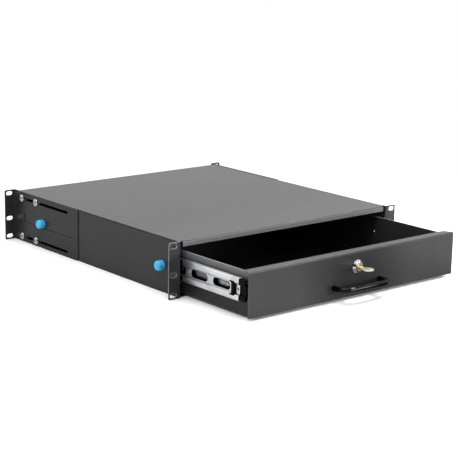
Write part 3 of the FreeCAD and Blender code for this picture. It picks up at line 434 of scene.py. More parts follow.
@dataclass(frozen=True)
class PolishedPlate(Finish):
    """Polished metal: chrome or nickel plate, ball steel or brass.

    It mirrors its surroundings sharply, and handling has left faint scuffs
    that blur the mirror here and there.
    """

    colour: str
    roughness: float
    scuff_mm: float = 1.6
    scuff_span: Span = (0.45, 0.8)
    scuffed: float = 0.18

    def build(self) -> bpy.types.Material:
        """Build the plate's material.

        Returns:
            The material.
        """
        material, tree, shader, place = self.start()
        scuffs = add_node(tree, "ShaderNodeTexNoise", None, {
            "Vector": place, "Scale": 1.0 / (self.scuff_mm * MM), "Detail": 5.0, "Roughness": 0.7})
        shine = add_node(tree, "ShaderNodeMapRange", None, {
            "Value": scuffs.outputs[0], "From Min": self.scuff_span[0], "From Max": self.scuff_span[1],
            "To Min": self.roughness, "To Max": self.roughness + self.scuffed})
        tree.links.new(shine.outputs[0], shader.inputs["Roughness"])
        shader.inputs["Base Color"].default_value = linear(self.colour)
        shader.inputs["Metallic"].default_value = 1.0
        return material


@dataclass(frozen=True)
class MouldedPlastic(Finish):
    """Injection-moulded polymer, dyed through.

    The mould's grain or polish sets its gloss, and the dye lies a little deeper
    where the melt flowed slowly.
    """

    colour: str
    deep_colour: str
    roughness: float
    grain_mm: float = 0.6
    grain_height_mm: float = 0.02
    grain_strength: float = 0.5
    flow_mm: float = 9.0
    flow_span: Span = (0.35, 0.7)
    ior: float = 1.49
    glow: float = 0.0
    glow_mm: float = 1.5

    def build(self) -> bpy.types.Material:
        """Build the plastic's material.

        Returns:
            The material.
        """
        material, tree, shader, place = self.start()
        grain = add_node(tree, "ShaderNodeTexNoise", None, {
            "Vector": place, "Scale": 1.0 / (self.grain_mm * MM), "Detail": 2.0})
        flow = add_node(tree, "ShaderNodeTexNoise", None, {
            "Vector": place, "Scale": 1.0 / (self.flow_mm * MM)})
        patch = add_node(tree, "ShaderNodeMapRange", None, {
            "Value": flow.outputs[0], "From Min": self.flow_span[0], "From Max": self.flow_span[1]})
        colour = add_node(tree, "ShaderNodeMix", {"data_type": "RGBA"}, {
            FACTOR: patch.outputs[0], COLOUR_A: linear(self.colour), COLOUR_B: linear(self.deep_colour)})
        bump = add_node(tree, "ShaderNodeBump", None, {
            "Height": grain.outputs[0], "Distance": self.grain_height_mm * MM,
            "Strength": self.grain_strength})
        tree.links.new(colour.outputs[MIXED_COLOUR], shader.inputs["Base Color"])
        tree.links.new(bump.outputs[0], shader.inputs["Normal"])
        shader.inputs["Roughness"].default_value = self.roughness
        shader.inputs["IOR"].default_value = self.ior
        shader.inputs["Subsurface Weight"].default_value = self.glow
        shader.inputs["Subsurface Scale"].default_value = self.glow_mm * MM
        return material


@dataclass(frozen=True)
class GlossEnamel(Finish):
    """Stoved gloss enamel on steel rod.

    A deep black that shows little but sharp highlights, with fine rub marks
    where a hand takes hold.
    """

    colour: str = "#050506"
    rubbed_colour: str = "#0d0d0e"
    roughness: float = 0.1
    rub_mm: float = 2.2
    rub_span: Span = (0.5, 0.75)
    dull_span: Span = (0.45, 0.75)
    dulled: float = 0.015
    ior: float = 1.26

    def build(self) -> bpy.types.Material:
        """Build the enamel's material.

        Returns:
            The material.
        """
        material, tree, shader, place = self.start()
        rubs = add_node(tree, "ShaderNodeTexNoise", None, {
            "Vector": place, "Scale": 1.0 / (self.rub_mm * MM), "Detail": 4.0, "Roughness": 0.6})
        rubbed = add_node(tree, "ShaderNodeMapRange", None, {
            "Value": rubs.outputs[0], "From Min": self.rub_span[0], "From Max": self.rub_span[1]})
        colour = add_node(tree, "ShaderNodeMix", {"data_type": "RGBA"}, {
            FACTOR: rubbed.outputs[0], COLOUR_A: linear(self.colour), COLOUR_B: linear(self.rubbed_colour)})
        shine = add_node(tree, "ShaderNodeMapRange", None, {
            "Value": rubs.outputs[0], "From Min": self.dull_span[0], "From Max": self.dull_span[1],
            "To Min": self.roughness, "To Max": self.roughness + self.dulled})
        tree.links.new(colour.outputs[MIXED_COLOUR], shader.inputs["Base Color"])
        tree.links.new(shine.outputs[0], shader.inputs["Roughness"])
        shader.inputs["IOR"].default_value = self.ior
        return material


# Bands of the drawer where its coats show worn edges, painted light or painted shade.
EARS = Zone(Axis.Y, none_at_mm=6.0, full_at_mm=4.0)
TRAY_OUTSIDE = Zone(Axis.X, none_at_mm=205.3, full_at_mm=205.6)
ABOVE_SLIDES = Zone(Axis.Z, none_at_mm=8.0, full_at_mm=26.0, both_ways=False)
ABOUT_LOCK = Zone(Axis.X, none_at_mm=120.0, full_at_mm=30.0)
BEHIND_LIP = Zone(Axis.Y, none_at_mm=150.0, full_at_mm=4.0, both_ways=False)
COVER_LIP = Zone(Axis.Y, none_at_mm=1.8, full_at_mm=1.1, both_ways=False)


class FinishShop:
    """Builds each finish once, and puts finishes on pieces."""

    def __init__(self) -> None:
        """Build every finish."""
        made = [
            PowderCoat("black_powder_coat"),
            # The ears' edges show pale: partly worn by rack posts and hands, partly a painted highlight.
            PowderCoat("black_powder_coat_on_side", worn_colour="#d8d8da", edge_mm=1.3, worn_zone=EARS),
            # The tray's outer faces above the slides are painted lighter, painted light from above and off
            # the zinc slides; its edges are pale, partly wear and partly a painted highlight.
            PowderCoat("black_powder_coat_on_tray", colour="#262627", worn_colour="#e0e0e2", edge_mm=1.6,
                       rubs=(PaintedLightAndShade("#77777a", (TRAY_OUTSIDE, ABOVE_SLIDES)),)),
            # The panel's coat is a lighter grey, painted darker about the lock and handle: painted shade
            # where the panel mirrors darker surroundings.
            PowderCoat("black_powder_coat_on_panel", colour="#363637", rubs=(PaintedLightAndShade("#1f1f20", (ABOUT_LOCK,)),)),
            # The lip above the drawer is painted pale, and the cover lighter towards its front edge: painted
            # light and a painted sheen.
            PowderCoat("black_powder_coat_on_cover",
                       rubs=(PaintedLightAndShade("#383839", (BEHIND_LIP,)), PaintedLightAndShade("#666668", (COVER_LIP,)))),
            # The rails' corners are painted dark, and the inner rails far into the gaps between members:
            # painted shade.
            ZincPlate("zinc_plated_strip", grease_mm=4.0),
            ZincPlate("zinc_plated_inner_strip", grease_mm=20.0),
            ZincPlate("zinc_plated_hardware", colour="#c9ccce", cloud_colour="#aeb3b6", roughness=0.2,
                      along=Axis.X, line_mm=0.8, cloud_mm=4.0),
            ZincPlate("zinc_cage_strip", colour="#9da2a6", cloud_colour="#858b90", roughness=0.38),
            PolishedPlate("polished_ball_steel", colour="#dcdfe2", roughness=0.05),
            PolishedPlate("chrome_plate", colour="#b7bac4", roughness=0.05, scuffed=0.08),
            PolishedPlate("nickel_plate", colour="#dfdac8", roughness=0.34),
            PolishedPlate("brass_plug_face", colour="#a99a72", roughness=0.3),
            MouldedPlastic("black_nylon", colour="#050506", deep_colour="#030304", roughness=0.36, ior=1.14),
            MouldedPlastic("blue_polythene", colour="#5cccff", deep_colour="#46baf7", roughness=0.32,
                           grain_height_mm=0.004, glow=0.12),
            GlossEnamel("gloss_black_enamel"),
        ]
        self.finishes: dict[str, bpy.types.Material] = {finish.name: finish.build() for finish in made}

    def dress(self, finish: str, *nodes: str) -> None:
        """Give CAD nodes a finish.

        Args:
            finish: the finish's name in the shop.
            nodes: names of CAD nodes.
        """
        for node in nodes:
            for place in frame["nodes"][node].material_slots:
                place.material = self.finishes[finish]
            LOG.info("%s is finished in %s", node, finish)


# Hand tools.

def box_mm(node: str) -> tuple[Vector, Vector]:
    """Measure a CAD node.

    Args:
        node: the node's name.

    Returns:
        Its lowest and highest corners, in millimetres.
    """
    low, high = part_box(node)
    return low / MM, high / MM


def take_up(piece: bpy.types.Object) -> None:
    """Make one object the only selected and active one.

    Args:
        piece: the object.
    """
    bpy.ops.object.select_all(action="DESELECT")
    piece.select_set(True)
    bpy.context.view_layer.objects.active = piece


def settle(piece: bpy.types.Object, name: str) -> bpy.types.Object:
    """Name a piece and put its place into its mesh.

    Args:
        piece: the piece.
        name: its new name, which its mesh gets too.

    Returns:
        The same piece, with its object at the origin.
    """
    take_up(piece)
    bpy.ops.object.transform_apply(location=True, rotation=True, scale=True)
    piece.name = piece.data.name = name
    return piece


def true_up(piece: bpy.types.Object) -> None:
    """Merge a piece's doubles and turn its faces outwards.

    Args:
        piece: the piece.
    """
    take_up(piece)
    bpy.ops.object.mode_set(mode="EDIT")
    bpy.ops.mesh.select_all(action="SELECT")
    bpy.ops.mesh.remove_doubles(threshold=MERGE_MM * MM)
    bpy.ops.mesh.normals_make_consistent(inside=False)
    bpy.ops.object.mode_set(mode="OBJECT")


def build_up(name: str, rings: Rings, seat: Vector, facing: Vector, sides: int) -> bpy.types.Object:
    """Raise a round piece from a disc, one extruded ring after another.

    Args:
        name: the piece's name.
        rings: the rings in millimetres, with their advance along facing from the seat.
        seat: where advance is zero, in millimetres.
        facing: the direction that the piece points in.
        sides: corners of each ring.

    Returns:
        The closed piece, with its place in its mesh.
    """
    advance, radius = rings[0]
    bpy.ops.object.select_all(action="DESELECT")
    bpy.ops.mesh.primitive_circle_add(
        vertices=sides, radius=radius * MM, fill_type="NGON", location=(seat + facing * advance) * MM,
        rotation=facing.to_track_quat("Z", "Y").to_euler())
    piece = settle(bpy.context.active_object, name)
    bpy.ops.object.mode_set(mode="EDIT")
    bpy.ops.mesh.select_all(action="SELECT")
    for next_advance, next_radius in rings[1:]:
        step = facing * (next_advance - advance) * MM
        bpy.ops.mesh.extrude_region_move(TRANSFORM_OT_translate={"value": step})
        bpy.ops.transform.resize(value=(next_radius / radius,) * 3,
                                 center_override=(seat + facing * next_advance) * MM)
        advance, radius = next_advance, next_radius
    bpy.ops.object.mode_set(mode="OBJECT")
    true_up(piece)
    return piece


def carve(piece: bpy.types.Object, cutter: bpy.types.Object) -> None:
    """Cut one piece out of another and throw the cutter away.

    Args:
        piece: the piece that is cut.
        cutter: the piece that is taken away, closed and facing outwards.
    """
    take_up(piece)
    cut = piece.modifiers.new("cut", "BOOLEAN")
    cut.operation, cut.solver, cut.object = "DIFFERENCE", "EXACT", cutter
    bpy.ops.object.modifier_apply(modifier=cut.name)
    bpy.data.objects.remove(cutter)


def break_edges(piece: bpy.types.Object, width_mm: float) -> None:
    """Round every sharp edge a little and shade the piece smoothly between them.

    Args:
        piece: the piece, closed and without doubles.
        width_mm: how far each rounding reaches.
    """
    take_up(piece)
    edge = piece.modifiers.new("edge", "BEVEL")
    edge.width, edge.segments, edge.use_clamp_overlap = width_mm * MM, EDGE_STEPS, False
    edge.limit_method, edge.angle_limit = "ANGLE", math.radians(SHARP_ABOVE_DEG)
    edge.miter_outer = "MITER_ARC"
    bpy.ops.object.modifier_apply(modifier=edge.name)
    bpy.ops.object.shade_smooth_by_angle(angle=math.radians(SMOOTH_BELOW_DEG))
    even = piece.modifiers.new("even", "WEIGHTED_NORMAL")
    even.keep_sharp = True
    bpy.ops.object.modifier_apply(modifier=even.name)


def join_up(name: str, pieces: list[bpy.types.Object]) -> bpy.types.Object:
    """Join pieces into one object.

    Args:
        name: the joined piece's name.
        pieces: the pieces, which end as one.

    Returns:
        The joined piece.
    """
    take_up(pieces[0])
    for piece in pieces[1:]:
        piece.select_set(True)
    bpy.ops.object.join()
    return settle(bpy.context.active_object, name)


@dataclass
class SubAssembly:
    """What every group of pieces shares: the finish shop and the way pieces are fitted."""

    shop: FinishShop

    def fit(self, piece: bpy.types.Object, finish: str, node: str) -> None:
        """Finish a piece and let it stand for a CAD node.

        Args:
            piece: the piece, in its place.
            finish: the finish's name in the shop.
            node: name of the CAD node that it stands for.
        """
        body = frame["nodes"][node]["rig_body"]
        piece.data.materials.clear()
        piece.data.materials.append(self.shop.finishes[finish])
        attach(piece, body)
        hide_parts(node)
        LOG.info("%s rides on %s, finished in %s", piece.name, body, finish)

    def soften(self, node: str, width_mm: float, *cutters: bpy.types.Object) -> bpy.types.Object:
        """Copy a CAD node, cut the copy and break its edges.

        Args:
            node: the CAD node's name.
            width_mm: how far each rounding reaches.
            cutters: pieces that are taken away from the copy first.

        Returns:
            The copy, which still has to be fitted.
        """
        piece = bpy.data.objects.new(node + "_piece", frame["nodes"][node].data.copy())
        bpy.context.scene.collection.objects.link(piece)
        take_up(piece)
        bpy.ops.mesh.customdata_custom_splitnormals_clear()
        true_up(piece)
        bpy.ops.object.mode_set(mode="EDIT")
        bpy.ops.mesh.select_all(action="SELECT")
        bpy.ops.mesh.dissolve_limited(angle_limit=math.radians(FLAT_BELOW_DEG))
        bpy.ops.object.mode_set(mode="OBJECT")
        for cutter in cutters:
            carve(piece, cutter)
        break_edges(piece, width_mm)
        return piece


# The drawer's pieces.

@dataclass
class SheetMetal(SubAssembly):
    """Cabinet, brackets and drawer: folded steel sheet with edges that catch the light."""

    edge_mm: float = 0.3
    wall_edge_mm: float = 0.15
    coats: tuple[tuple[str, str], ...] = (
        ("cabinet_rear_panel", "black_powder_coat"), ("rear_bracket_left", "black_powder_coat"),
        ("rear_bracket_right", "black_powder_coat"), ("lock_strike", "black_powder_coat"),
        ("cabinet_cover", "black_powder_coat_on_cover"), ("drawer_front_panel", "black_powder_coat_on_panel"),
        ("drawer_tray", "black_powder_coat_on_tray"), ("drawer_rear_wall", "black_powder_coat_on_tray"))
    slot_height_mm: float = 5.0
    slot_start_mm: float = 30.5
    slot_length_mm: float = 145.0
    slot_rise_mm: float = 33.7
    slot_corners: int = 24
    wall_place_mm: float = 219.0
    cutter_depth_mm: float = 4.0

    def build(self) -> None:
        """Soften and coat every sheet, and slot the walls behind the brackets."""
        for node, coat in self.coats:
            self.fit(self.soften(node, self.edge_mm), coat, node)
        for side in Side:
            wall = self.soften("cabinet_side_" + side.word, self.wall_edge_mm,
                               self.slot_cutter(side, -1.0), self.slot_cutter(side, 1.0))
            self.fit(wall, "black_powder_coat_on_side", "cabinet_side_" + side.word)

    def slot_cutter(self, side: Side, up: float) -> bpy.types.Object:
        """Make the cutter for one of a wall's long slots, which lie behind its bracket's.

        Args:
            side: the wall's side.
            up: 1 for the upper slot, -1 for the lower.

        Returns:
            The cutter, a bar with round ends.
        """
        bracket_low, _ = box_mm("rear_bracket_" + side.word)
        slide_low, slide_high = box_mm("slide_middle_rail_" + side.word)
        radius = self.slot_height_mm / 2
        front_end = Vector((
            side.value * self.wall_place_mm, bracket_low.y + self.slot_start_mm + radius,
            (slide_low.z + slide_high.z) / 2 + up * self.slot_rise_mm))
        bpy.ops.object.select_all(action="DESELECT")
        bpy.ops.mesh.primitive_cylinder_add(
            vertices=self.slot_corners, radius=radius * MM, depth=self.cutter_depth_mm * MM,
            location=front_end * MM, rotation=(0.0, math.pi / 2, 0.0))
        cutter = settle(bpy.context.active_object, "slot_cutter")
        bpy.ops.object.mode_set(mode="EDIT")
        bpy.ops.mesh.select_all(action="SELECT")
        bpy.ops.mesh.duplicate_move(TRANSFORM_OT_translate={
            "value": (0.0, (self.slot_length_mm - self.slot_height_mm) * MM, 0.0)})
        bpy.ops.mesh.select_all(action="SELECT")
        bpy.ops.mesh.convex_hull(join_triangles=True)
        bpy.ops.object.mode_set(mode="OBJECT")
        true_up(cutter)
        return cutter


@dataclass
class BracketScrews(SubAssembly):
    """Button-head socket screws that clamp the brackets."""

    head_rings: Rings = (
        (-9.0, 2.1), (-8.6, 2.5), (0.0, 2.5), (0.0, 6.1), (0.15, 6.35), (0.7, 6.4), (1.35, 6.15),
        (1.95, 5.6), (2.4, 4.85), (2.75, 3.8), (2.9, 2.9))
    socket_mm: float = 4.0
    socket_depth_mm: float = 1.9
    flare: float = 1.12
    flare_depth_mm: float = 0.25
    flare_rise_mm: float = 0.1
    head_sides: int = 36
    socket_sides: int = 6
    edge_mm: float = 0.12

    def screw(self, name: str, seat: Vector, facing: Vector) -> bpy.types.Object:
        """Model one screw.

        Args:
            name: the screw's name.
            seat: the middle of the head's underside, in millimetres.
            facing: the direction that the head points in.

        Returns:
            The screw.
        """
        screw = build_up(name, self.head_rings, seat, facing, self.head_sides)
        top = self.head_rings[-1][0]
        corner = self.socket_mm / math.sqrt(3.0)
        socket_rings = ((top - self.socket_depth_mm, corner), (top - self.flare_depth_mm, corner),
                        (top + self.flare_rise_mm, corner * self.flare))
        carve(screw, build_up(name + "_socket", socket_rings, seat, facing, self.socket_sides))
        break_edges(screw, self.edge_mm)
        return screw

    def build(self) -> None:
        """Model each side's four screws."""
        for side in Side:
            node = "bracket_screws_" + side.word
            low, high = box_mm(node)
            reach = max(radius for _, radius in self.head_rings)
            seat_x = side.value * (max(abs(low.x), abs(high.x)) - self.head_rings[-1][0])
            screws = []
            for y in (low.y + reach, high.y - reach):
                for z in (low.z + reach, high.z - reach):
                    screws.append(self.screw(f"screw_{len(screws)}", Vector((seat_x, y, z)), side.outward))
            self.fit(join_up(node + "_piece", screws), "zinc_plated_hardware", node)


@dataclass
class StudCaps(SubAssembly):
    """Soft plastic caps, thin-walled and blunt, pushed over the slides' studs."""

    rings: Rings = (
        (8.5, 5.2), (0.0, 5.2), (0.0, 7.6), (0.25, 7.88), (0.6, 7.9), (6.6, 7.72), (7.8, 7.66), (8.9, 7.38),
        (10.1, 6.7), (11.1, 5.6), (11.75, 4.2), (12.0, 2.4))
    sides: int = 56

    def build(self) -> None:
        """Model each side's two caps."""
        reach = max(radius for _, radius in self.rings)
        for side in Side:
            node = "stud_caps_" + side.word
            low, high = box_mm(node)
            seat_x = low.x if side is Side.RIGHT else high.x
            height = (low.z + high.z) / 2
            seats = [Vector((seat_x, y, height)) for y in (low.y + reach, high.y - reach)]
            caps = [build_up(f"cap_{index}", self.rings, seat, side.outward, self.sides)
                    for index, seat in enumerate(seats)]
            piece = join_up(node + "_piece", caps)
            bpy.ops.object.shade_smooth_by_angle(angle=math.radians(SMOOTH_BELOW_DEG))
            self.fit(piece, "blue_polythene", node)


@dataclass
class TelescopicSlides(SubAssembly):
    """Roll-formed rails, their plastic ends and the rivets that hold the drawer's rails."""

    rail_edge_mm: float = 0.2
    plastic_edge_mm: float = 0.35
    rails: tuple[tuple[str, str], ...] = (
        ("slide_cabinet_rail_", "zinc_plated_strip"), ("slide_middle_rail_", "zinc_plated_strip"),
        ("slide_drawer_rail_", "zinc_plated_inner_strip"))
    plastics: tuple[str, ...] = ("slide_middle_clip_", "slide_front_bumper_", "slide_rear_buffer_")
    rivet_places_mm: tuple[float, ...] = (52.6, 162.0, 330.0)
    rivet_rings: Rings = (
        (-3.8, 1.5), (-3.6, 2.2), (-2.5, 2.75), (-2.4, 2.0), (0.0, 2.0), (0.0, 3.4), (0.15, 3.6), (0.55, 3.5),
        (1.1, 3.0), (1.45, 2.3), (1.6, 1.5), (1.25, 1.1), (1.2, 0.5))
    rivet_sides: int = 28

    def build(self) -> None:
        """Dress both slides."""
        for side in Side:
            for rail, finish in self.rails:
                self.fit(self.soften(rail + side.word, self.rail_edge_mm), finish, rail + side.word)
            for plastic in self.plastics:
                self.fit(self.soften(plastic + side.word, self.plastic_edge_mm), "black_nylon",
                         plastic + side.word)
            self.rivet(side)

    def rivet(self, side: Side) -> None:
        """Model one side's rivets, each with a dimpled round head in the rail's channel.

        Args:
            side: the rivets' side.
        """
        node = "drawer_rail_rivets_" + side.word
        low, high = box_mm(node)
        rail_low, _ = box_mm("slide_drawer_rail_" + side.word)
        rise = max(advance for advance, _ in self.rivet_rings)
        seat_x = side.value * (max(abs(low.x), abs(high.x)) - rise)
        height = (low.z + high.z) / 2
        rivets = [build_up(f"rivet_{place:.0f}", self.rivet_rings,
                           Vector((seat_x, rail_low.y + place, height)), side.outward, self.rivet_sides)
                  for place in self.rivet_places_mm]
        piece = join_up(node + "_piece", rivets)
        bpy.ops.object.shade_smooth_by_angle(angle=math.radians(SMOOTH_BELOW_DEG))
        self.fit(piece, "zinc_plated_hardware", node)


@dataclass
class BowHandle(SubAssembly):
    """Bow handle bent from round rod and stoved black."""

    rod_radius_mm: float = 4.25
    rod_sides: int = 36
    bend_mm: float = 13.0
    bend_steps: int = 12

    def build(self) -> None:
        """Bend the rod: out of one foot, across, and back into the other."""
        low, high = box_mm("handle")
        foot = Vector((low.x + self.rod_radius_mm, high.y, (low.z + high.z) / 2))
        leg = (high.y - low.y) - self.rod_radius_mm - self.bend_mm
        span = (high.x - low.x) - 2.0 * (self.rod_radius_mm + self.bend_mm)
        bpy.ops.object.select_all(action="DESELECT")
        bpy.ops.mesh.primitive_circle_add(
            vertices=self.rod_sides, radius=self.rod_radius_mm * MM, fill_type="NGON", location=foot * MM,
            rotation=(math.pi / 2, 0.0, 0.0))
        rod = settle(bpy.context.active_object, "bow_handle")
        bpy.ops.object.mode_set(mode="EDIT")
        bpy.ops.mesh.select_all(action="SELECT")
        pivot_y = high.y - leg
        runs = (Vector((0.0, -leg, 0.0)), Vector((span, 0.0, 0.0)), Vector((0.0, leg, 0.0)))
        pivots = (foot.x + self.bend_mm, high.x - self.rod_radius_mm - self.bend_mm)
        for index, run in enumerate(runs):
            bpy.ops.mesh.extrude_region_move(TRANSFORM_OT_translate={"value": run * MM})
            if index < len(pivots):
                bpy.ops.mesh.spin(steps=self.bend_steps, angle=-math.pi / 2, axis=(0.0, 0.0, 1.0),
                                  center=Vector((pivots[index], pivot_y, foot.z)) * MM)
        bpy.ops.object.mode_set(mode="OBJECT")
        true_up(rod)
        bpy.ops.object.shade_smooth_by_angle(angle=math.radians(SMOOTH_BELOW_DEG))
        self.fit(rod, "gloss_black_enamel", "handle")


@dataclass
class CamLock(SubAssembly):
    """Cam lock with its chromed bezel and turning plug, and its nickelled key."""

    bezel_edge_mm: float = 0.18
    key_edge_mm: float = 0.22
    key_smooth_below_deg: float = 35.0
    groove_mm: float = 1.1
    groove_depth_mm: float = 0.45
    groove_length_mm: float = 22.0
    groove_aside_mm: float = -1.1
    groove_past_tip_mm: float = 2.0

    def build(self) -> None:
        """Dress the lock and mill the key."""
        self.fit(self.soften("lock_housing", self.bezel_edge_mm), "chrome_plate", "lock_housing")
        self.fit(self.soften("lock_plug", self.bezel_edge_mm), "brass_plug_face", "lock_plug")
        self.fit(self.soften("lock_cam", self.bezel_edge_mm), "zinc_plated_hardware", "lock_cam")
        self.key()

    def key(self) -> None:
        """Break the key's edges and mill a groove along each face of its blade."""
        low, high = box_mm("key")
        piece = self.soften("key", self.key_edge_mm)
        groove_y = high.y + self.groove_past_tip_mm - self.groove_length_mm / 2
        for face in (low.z, high.z):
            bpy.ops.object.select_all(action="DESELECT")
            bpy.ops.mesh.primitive_cube_add(
                size=1.0, location=Vector((self.groove_aside_mm, groove_y, face)) * MM,
                scale=Vector((self.groove_mm, self.groove_length_mm, 2.0 * self.groove_depth_mm)) * MM)
            carve(piece, settle(bpy.context.active_object, "groove_cutter"))
        take_up(piece)
        bpy.ops.object.shade_smooth_by_angle(angle=math.radians(self.key_smooth_below_deg))
        self.fit(piece, "nickel_plate", "key")


# Studio.

@dataclass
class Camera:
    """A long lens, set low and to the left, that looks along the opened drawer."""

    position_mm: tuple[float, float, float] = (-1430.63, -1567.68, 529.34)
    heading_deg: float = 39.77
    pitch_deg: float = -13.21
    roll_deg: float = 1.04
    lens_mm: float = 107.24
    sensor_mm: float = 36.0
    nearest: float = 0.05
    farthest: float = 60.0

    def build(self) -> None:
        """Add the camera and make it the scene's own."""
        heading, pitch, roll = map(math.radians, (self.heading_deg, self.pitch_deg, self.roll_deg))
        ahead = Vector((math.sin(heading) * math.cos(pitch), math.cos(heading) * math.cos(pitch),
                        math.sin(pitch)))
        flat_right = Vector((math.cos(heading), -math.sin(heading), 0.0))
        flat_up = flat_right.cross(ahead)
        right = flat_right * math.cos(roll) + flat_up * math.sin(roll)
        up = flat_up * math.cos(roll) - flat_right * math.sin(roll)
        data = bpy.data.cameras.new("camera")
        data.lens = self.lens_mm
        data.sensor_width = self.sensor_mm
        data.clip_start, data.clip_end = self.nearest, self.farthest
        camera = bpy.data.objects.new("camera", data)
        bpy.context.scene.collection.objects.link(camera)
        turn = Matrix((right, up, -ahead)).transposed().to_4x4()
        camera.matrix_world = Matrix.Translation(Vector(self.position_mm) * MM) @ turn
        bpy.context.scene.camera = camera


@dataclass
class SoftBox:
    """One soft rectangular lamp."""

    name: str
    place: tuple[float, float, float]
    aim: tuple[float, float, float]
    size: tuple[float, float]
    watts: float

    def build(self) -> None:
        """Add the lamp and turn it to its aim."""
        data = bpy.data.lights.new(self.name, "AREA")
        data.shape = "RECTANGLE"
        data.size, data.size_y = self.size
        data.energy = self.watts
        lamp = bpy.data.objects.new(self.name, data)
        bpy.context.scene.collection.objects.link(lamp)
        lamp.location = self.place
        lamp.rotation_euler = (Vector(self.aim) - Vector(self.place)).to_track_quat("-Z", "Y").to_euler()
        lamp.visible_camera = False


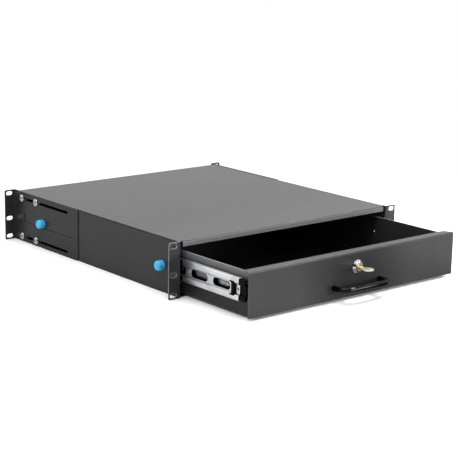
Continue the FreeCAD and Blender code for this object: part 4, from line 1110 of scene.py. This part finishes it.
@dataclass
class Studio:
    """White sweep, pale surround that is dimmer behind the camera, and soft lamps."""

    surround: float = 0.55
    dim_side: float = 0.06
    bright_way: tuple[float, float, float] = (0.64, 0.77, 0.0)
    bright_from: Span = (-0.35, 0.15)
    bright_above: Span = (0.45, 0.8)
    horizon: Span = (0.1, 0.32)
    horizon_glow: Span = (0.88, 1.3)
    floor_size: float = 14.0
    floor_gap_mm: float = 0.1
    floor_colour: str = "#e2e2e2"
    floor_lift: str = "#828282"
    white_beyond: Span = (0.55, 1.1)
    # The floor under the cabinet is painted dark, a painted shadow: little light gets under it.
    under_colour: str = "#3a3a3a"
    under_cabinet: tuple[Zone, ...] = (
        Zone(Axis.X, 221.0, 217.0), Zone(Axis.Y, 2.0, 8.0, both_ways=False), Zone(Axis.Y, 462.0, 456.0))
    # The panel and its handle mirror something dark on the floor before them, right of the middle.
    mirrored_colour: str = "#161616"
    dark_in_mirrors: tuple[Zone, ...] = (
        Zone(Axis.X, -70.0, 50.0, both_ways=False), Zone(Axis.X, 330.0, 210.0, both_ways=False),
        Zone(Axis.Y, -150.0, -170.0, both_ways=False), Zone(Axis.Y, -600.0, -450.0, both_ways=False))
    lamps: list[SoftBox] = field(default_factory=lambda: [
        SoftBox("overhead", (-0.2, 0.3, 2.4), (0.0, 0.1, 0.0), (2.6, 2.2), 34.0),
        SoftBox("right_key", (1.2, -0.1, 1.5), (0.0, -0.15, 0.0), (0.22, 0.22), 14.0),
        SoftBox("left_high", (-1.1, -0.5, 1.6), (-0.1, 0.0, 0.0), (0.25, 0.25), 7.0),
        SoftBox("low_front", (0.75, -1.5, 0.2), (0.1, 0.0, 0.0), (0.9, 0.35), 22.0),
    ])

    def build_world(self) -> None:
        """Make the surround white to look at, dimmer in mirrors on the camera's side, and dimmer as light."""
        world = bpy.data.worlds.new("studio")
        bpy.context.scene.world = world
        world.use_nodes = True
        tree = world.node_tree
        tree.nodes.clear()
        rays = add_node(tree, "ShaderNodeLightPath")
        way = add_node(tree, "ShaderNodeTexCoord").outputs["Generated"]
        towards = add_node(tree, "ShaderNodeVectorMath", {"operation": "DOT_PRODUCT"}, {
            0: way, 1: self.bright_way})
        behind = add_node(tree, "ShaderNodeMapRange", {"interpolation_type": "SMOOTHSTEP"}, {
            "Value": towards.outputs["Value"],
            "From Min": self.bright_from[0], "From Max": self.bright_from[1]})
        height = add_node(tree, "ShaderNodeSeparateXYZ", None, {0: way})
        above = add_node(tree, "ShaderNodeMapRange", {"interpolation_type": "SMOOTHSTEP"}, {
            "Value": height.outputs["Z"], "From Min": self.bright_above[0], "From Max": self.bright_above[1]})
        bright = add_node(tree, "ShaderNodeMath", {"operation": "MAXIMUM"}, {
            0: behind.outputs[0], 1: above.outputs[0]})
        lifted = add_node(tree, "ShaderNodeMapRange", None, {
            "Value": height.outputs["Z"], "From Min": self.horizon[0], "From Max": self.horizon[1],
            "To Min": self.horizon_glow[0], "To Max": self.horizon_glow[1]})
        mirrored = add_node(tree, "ShaderNodeMapRange", None, {
            "Value": bright.outputs[0], "To Min": self.dim_side, "To Max": lifted.outputs[0]})
        bouncing = add_node(tree, "ShaderNodeMath", {"operation": "MAXIMUM"}, {
            0: rays.outputs["Is Glossy Ray"], 1: rays.outputs["Is Transmission Ray"]})
        in_mirrors = add_node(tree, "ShaderNodeMix", {"data_type": "FLOAT"}, {
            FACTOR: bouncing.outputs[0], FLOAT_A: self.surround, FLOAT_B: mirrored.outputs[0]})
        strength = add_node(tree, "ShaderNodeMix", {"data_type": "FLOAT"}, {
            FACTOR: rays.outputs["Is Camera Ray"], FLOAT_A: in_mirrors.outputs[0], FLOAT_B: 1.0})
        light = add_node(tree, "ShaderNodeBackground", None, {
            "Color": linear(WHITE), "Strength": strength.outputs[0]})
        add_node(tree, "ShaderNodeOutputWorld", inputs={"Surface": light.outputs[0]})

    def build_floor(self) -> None:
        """Lay the white floor at the lowest point of the object; far off it is plain white to look at.

        Mirrors see a grey floor with a dark patch, and the eye a shaded one with a painted shadow under the
        cabinet.
        """
        bpy.ops.object.select_all(action="DESELECT")
        bpy.ops.mesh.primitive_grid_add(x_subdivisions=2, y_subdivisions=2, size=self.floor_size,
                                        location=(0.0, 0.0, CAD_BOX[0].z - self.floor_gap_mm * MM))
        floor = settle(bpy.context.active_object, "floor")
        material = bpy.data.materials.new("white_paper")
        material.use_nodes = True
        tree = material.node_tree
        tree.nodes.clear()
        rays = add_node(tree, "ShaderNodeLightPath")
        place = add_node(tree, "ShaderNodeTexCoord").outputs["Object"]
        gap = add_node(tree, "ShaderNodeMath", {"operation": "MULTIPLY"}, {
            0: inside(tree, place, self.dark_in_mirrors), 1: rays.outputs["Is Glossy Ray"]})
        seen = add_node(tree, "ShaderNodeMix", {"data_type": "RGBA"}, {
            FACTOR: gap.outputs[0], COLOUR_A: linear(self.floor_colour),
            COLOUR_B: linear(self.mirrored_colour)})
        matt = add_node(tree, "ShaderNodeBsdfDiffuse", None, {"Color": seen.outputs[MIXED_COLOUR]})
        shaded = add_node(tree, "ShaderNodeBsdfDiffuse", None, {"Color": linear(WHITE)})
        lifted = add_node(tree, "ShaderNodeBsdfDiffuse", None, {"Color": linear(self.floor_lift)})
        lit = add_node(tree, "ShaderNodeAddShader", None, {0: shaded.outputs[0], 1: lifted.outputs[0]})
        away = add_node(tree, "ShaderNodeVectorMath", {"operation": "LENGTH"}, {0: place})
        far = add_node(tree, "ShaderNodeMapRange", {"interpolation_type": "SMOOTHSTEP"}, {
            "Value": away.outputs["Value"],
            "From Min": self.white_beyond[0], "From Max": self.white_beyond[1]})
        white = add_node(tree, "ShaderNodeEmission", None, {"Color": linear(WHITE), "Strength": 1.0})
        # Under the cabinet the floor is painted dark: a painted shadow.
        under = inside(tree, place, self.under_cabinet)
        painted_shadow = add_node(tree, "ShaderNodeBsdfDiffuse", None, {"Color": linear(self.under_colour)})
        near = add_node(tree, "ShaderNodeMixShader", None, {
            0: under, 1: lit.outputs[0], 2: painted_shadow.outputs[0]})
        sweep = add_node(tree, "ShaderNodeMixShader", None, {
            0: far.outputs[0], 1: near.outputs[0], 2: white.outputs[0]})
        surface = add_node(tree, "ShaderNodeMixShader", None, {
            0: rays.outputs["Is Camera Ray"], 1: matt.outputs[0], 2: sweep.outputs[0]})
        add_node(tree, "ShaderNodeOutputMaterial", inputs={"Surface": surface.outputs[0]})
        floor.data.materials.append(material)

    def build(self) -> None:
        """Build the whole studio and set the plain view transform."""
        self.build_world()
        self.build_floor()
        for lamp in self.lamps:
            lamp.build()
        bpy.context.scene.view_settings.view_transform = "Standard"


def main() -> None:
    """Dress the drawer and set up its studio."""
    logging.basicConfig(level=logging.INFO, format="%(message)s")
    shop = FinishShop()
    for group in (SheetMetal, BracketScrews, StudCaps, TelescopicSlides, BowHandle, CamLock):
        group(shop).build()
        LOG.info("%s is built", group.__name__)
    for side in Side:
        shop.dress("zinc_cage_strip", "slide_outer_cage_" + side.word, "slide_inner_cage_" + side.word)
        shop.dress("polished_ball_steel", "slide_outer_balls_" + side.word, "slide_inner_balls_" + side.word)
        shop.dress("zinc_plated_hardware", "bracket_weld_nuts_" + side.word, "slide_studs_" + side.word,
                   "slide_stud_nuts_" + side.word)
    shop.dress("zinc_plated_hardware", "handle_screws", "lock_cam_screw", "lock_nut")
    Camera().build()
    Studio().build()


if __name__ == "__main__":
    main()
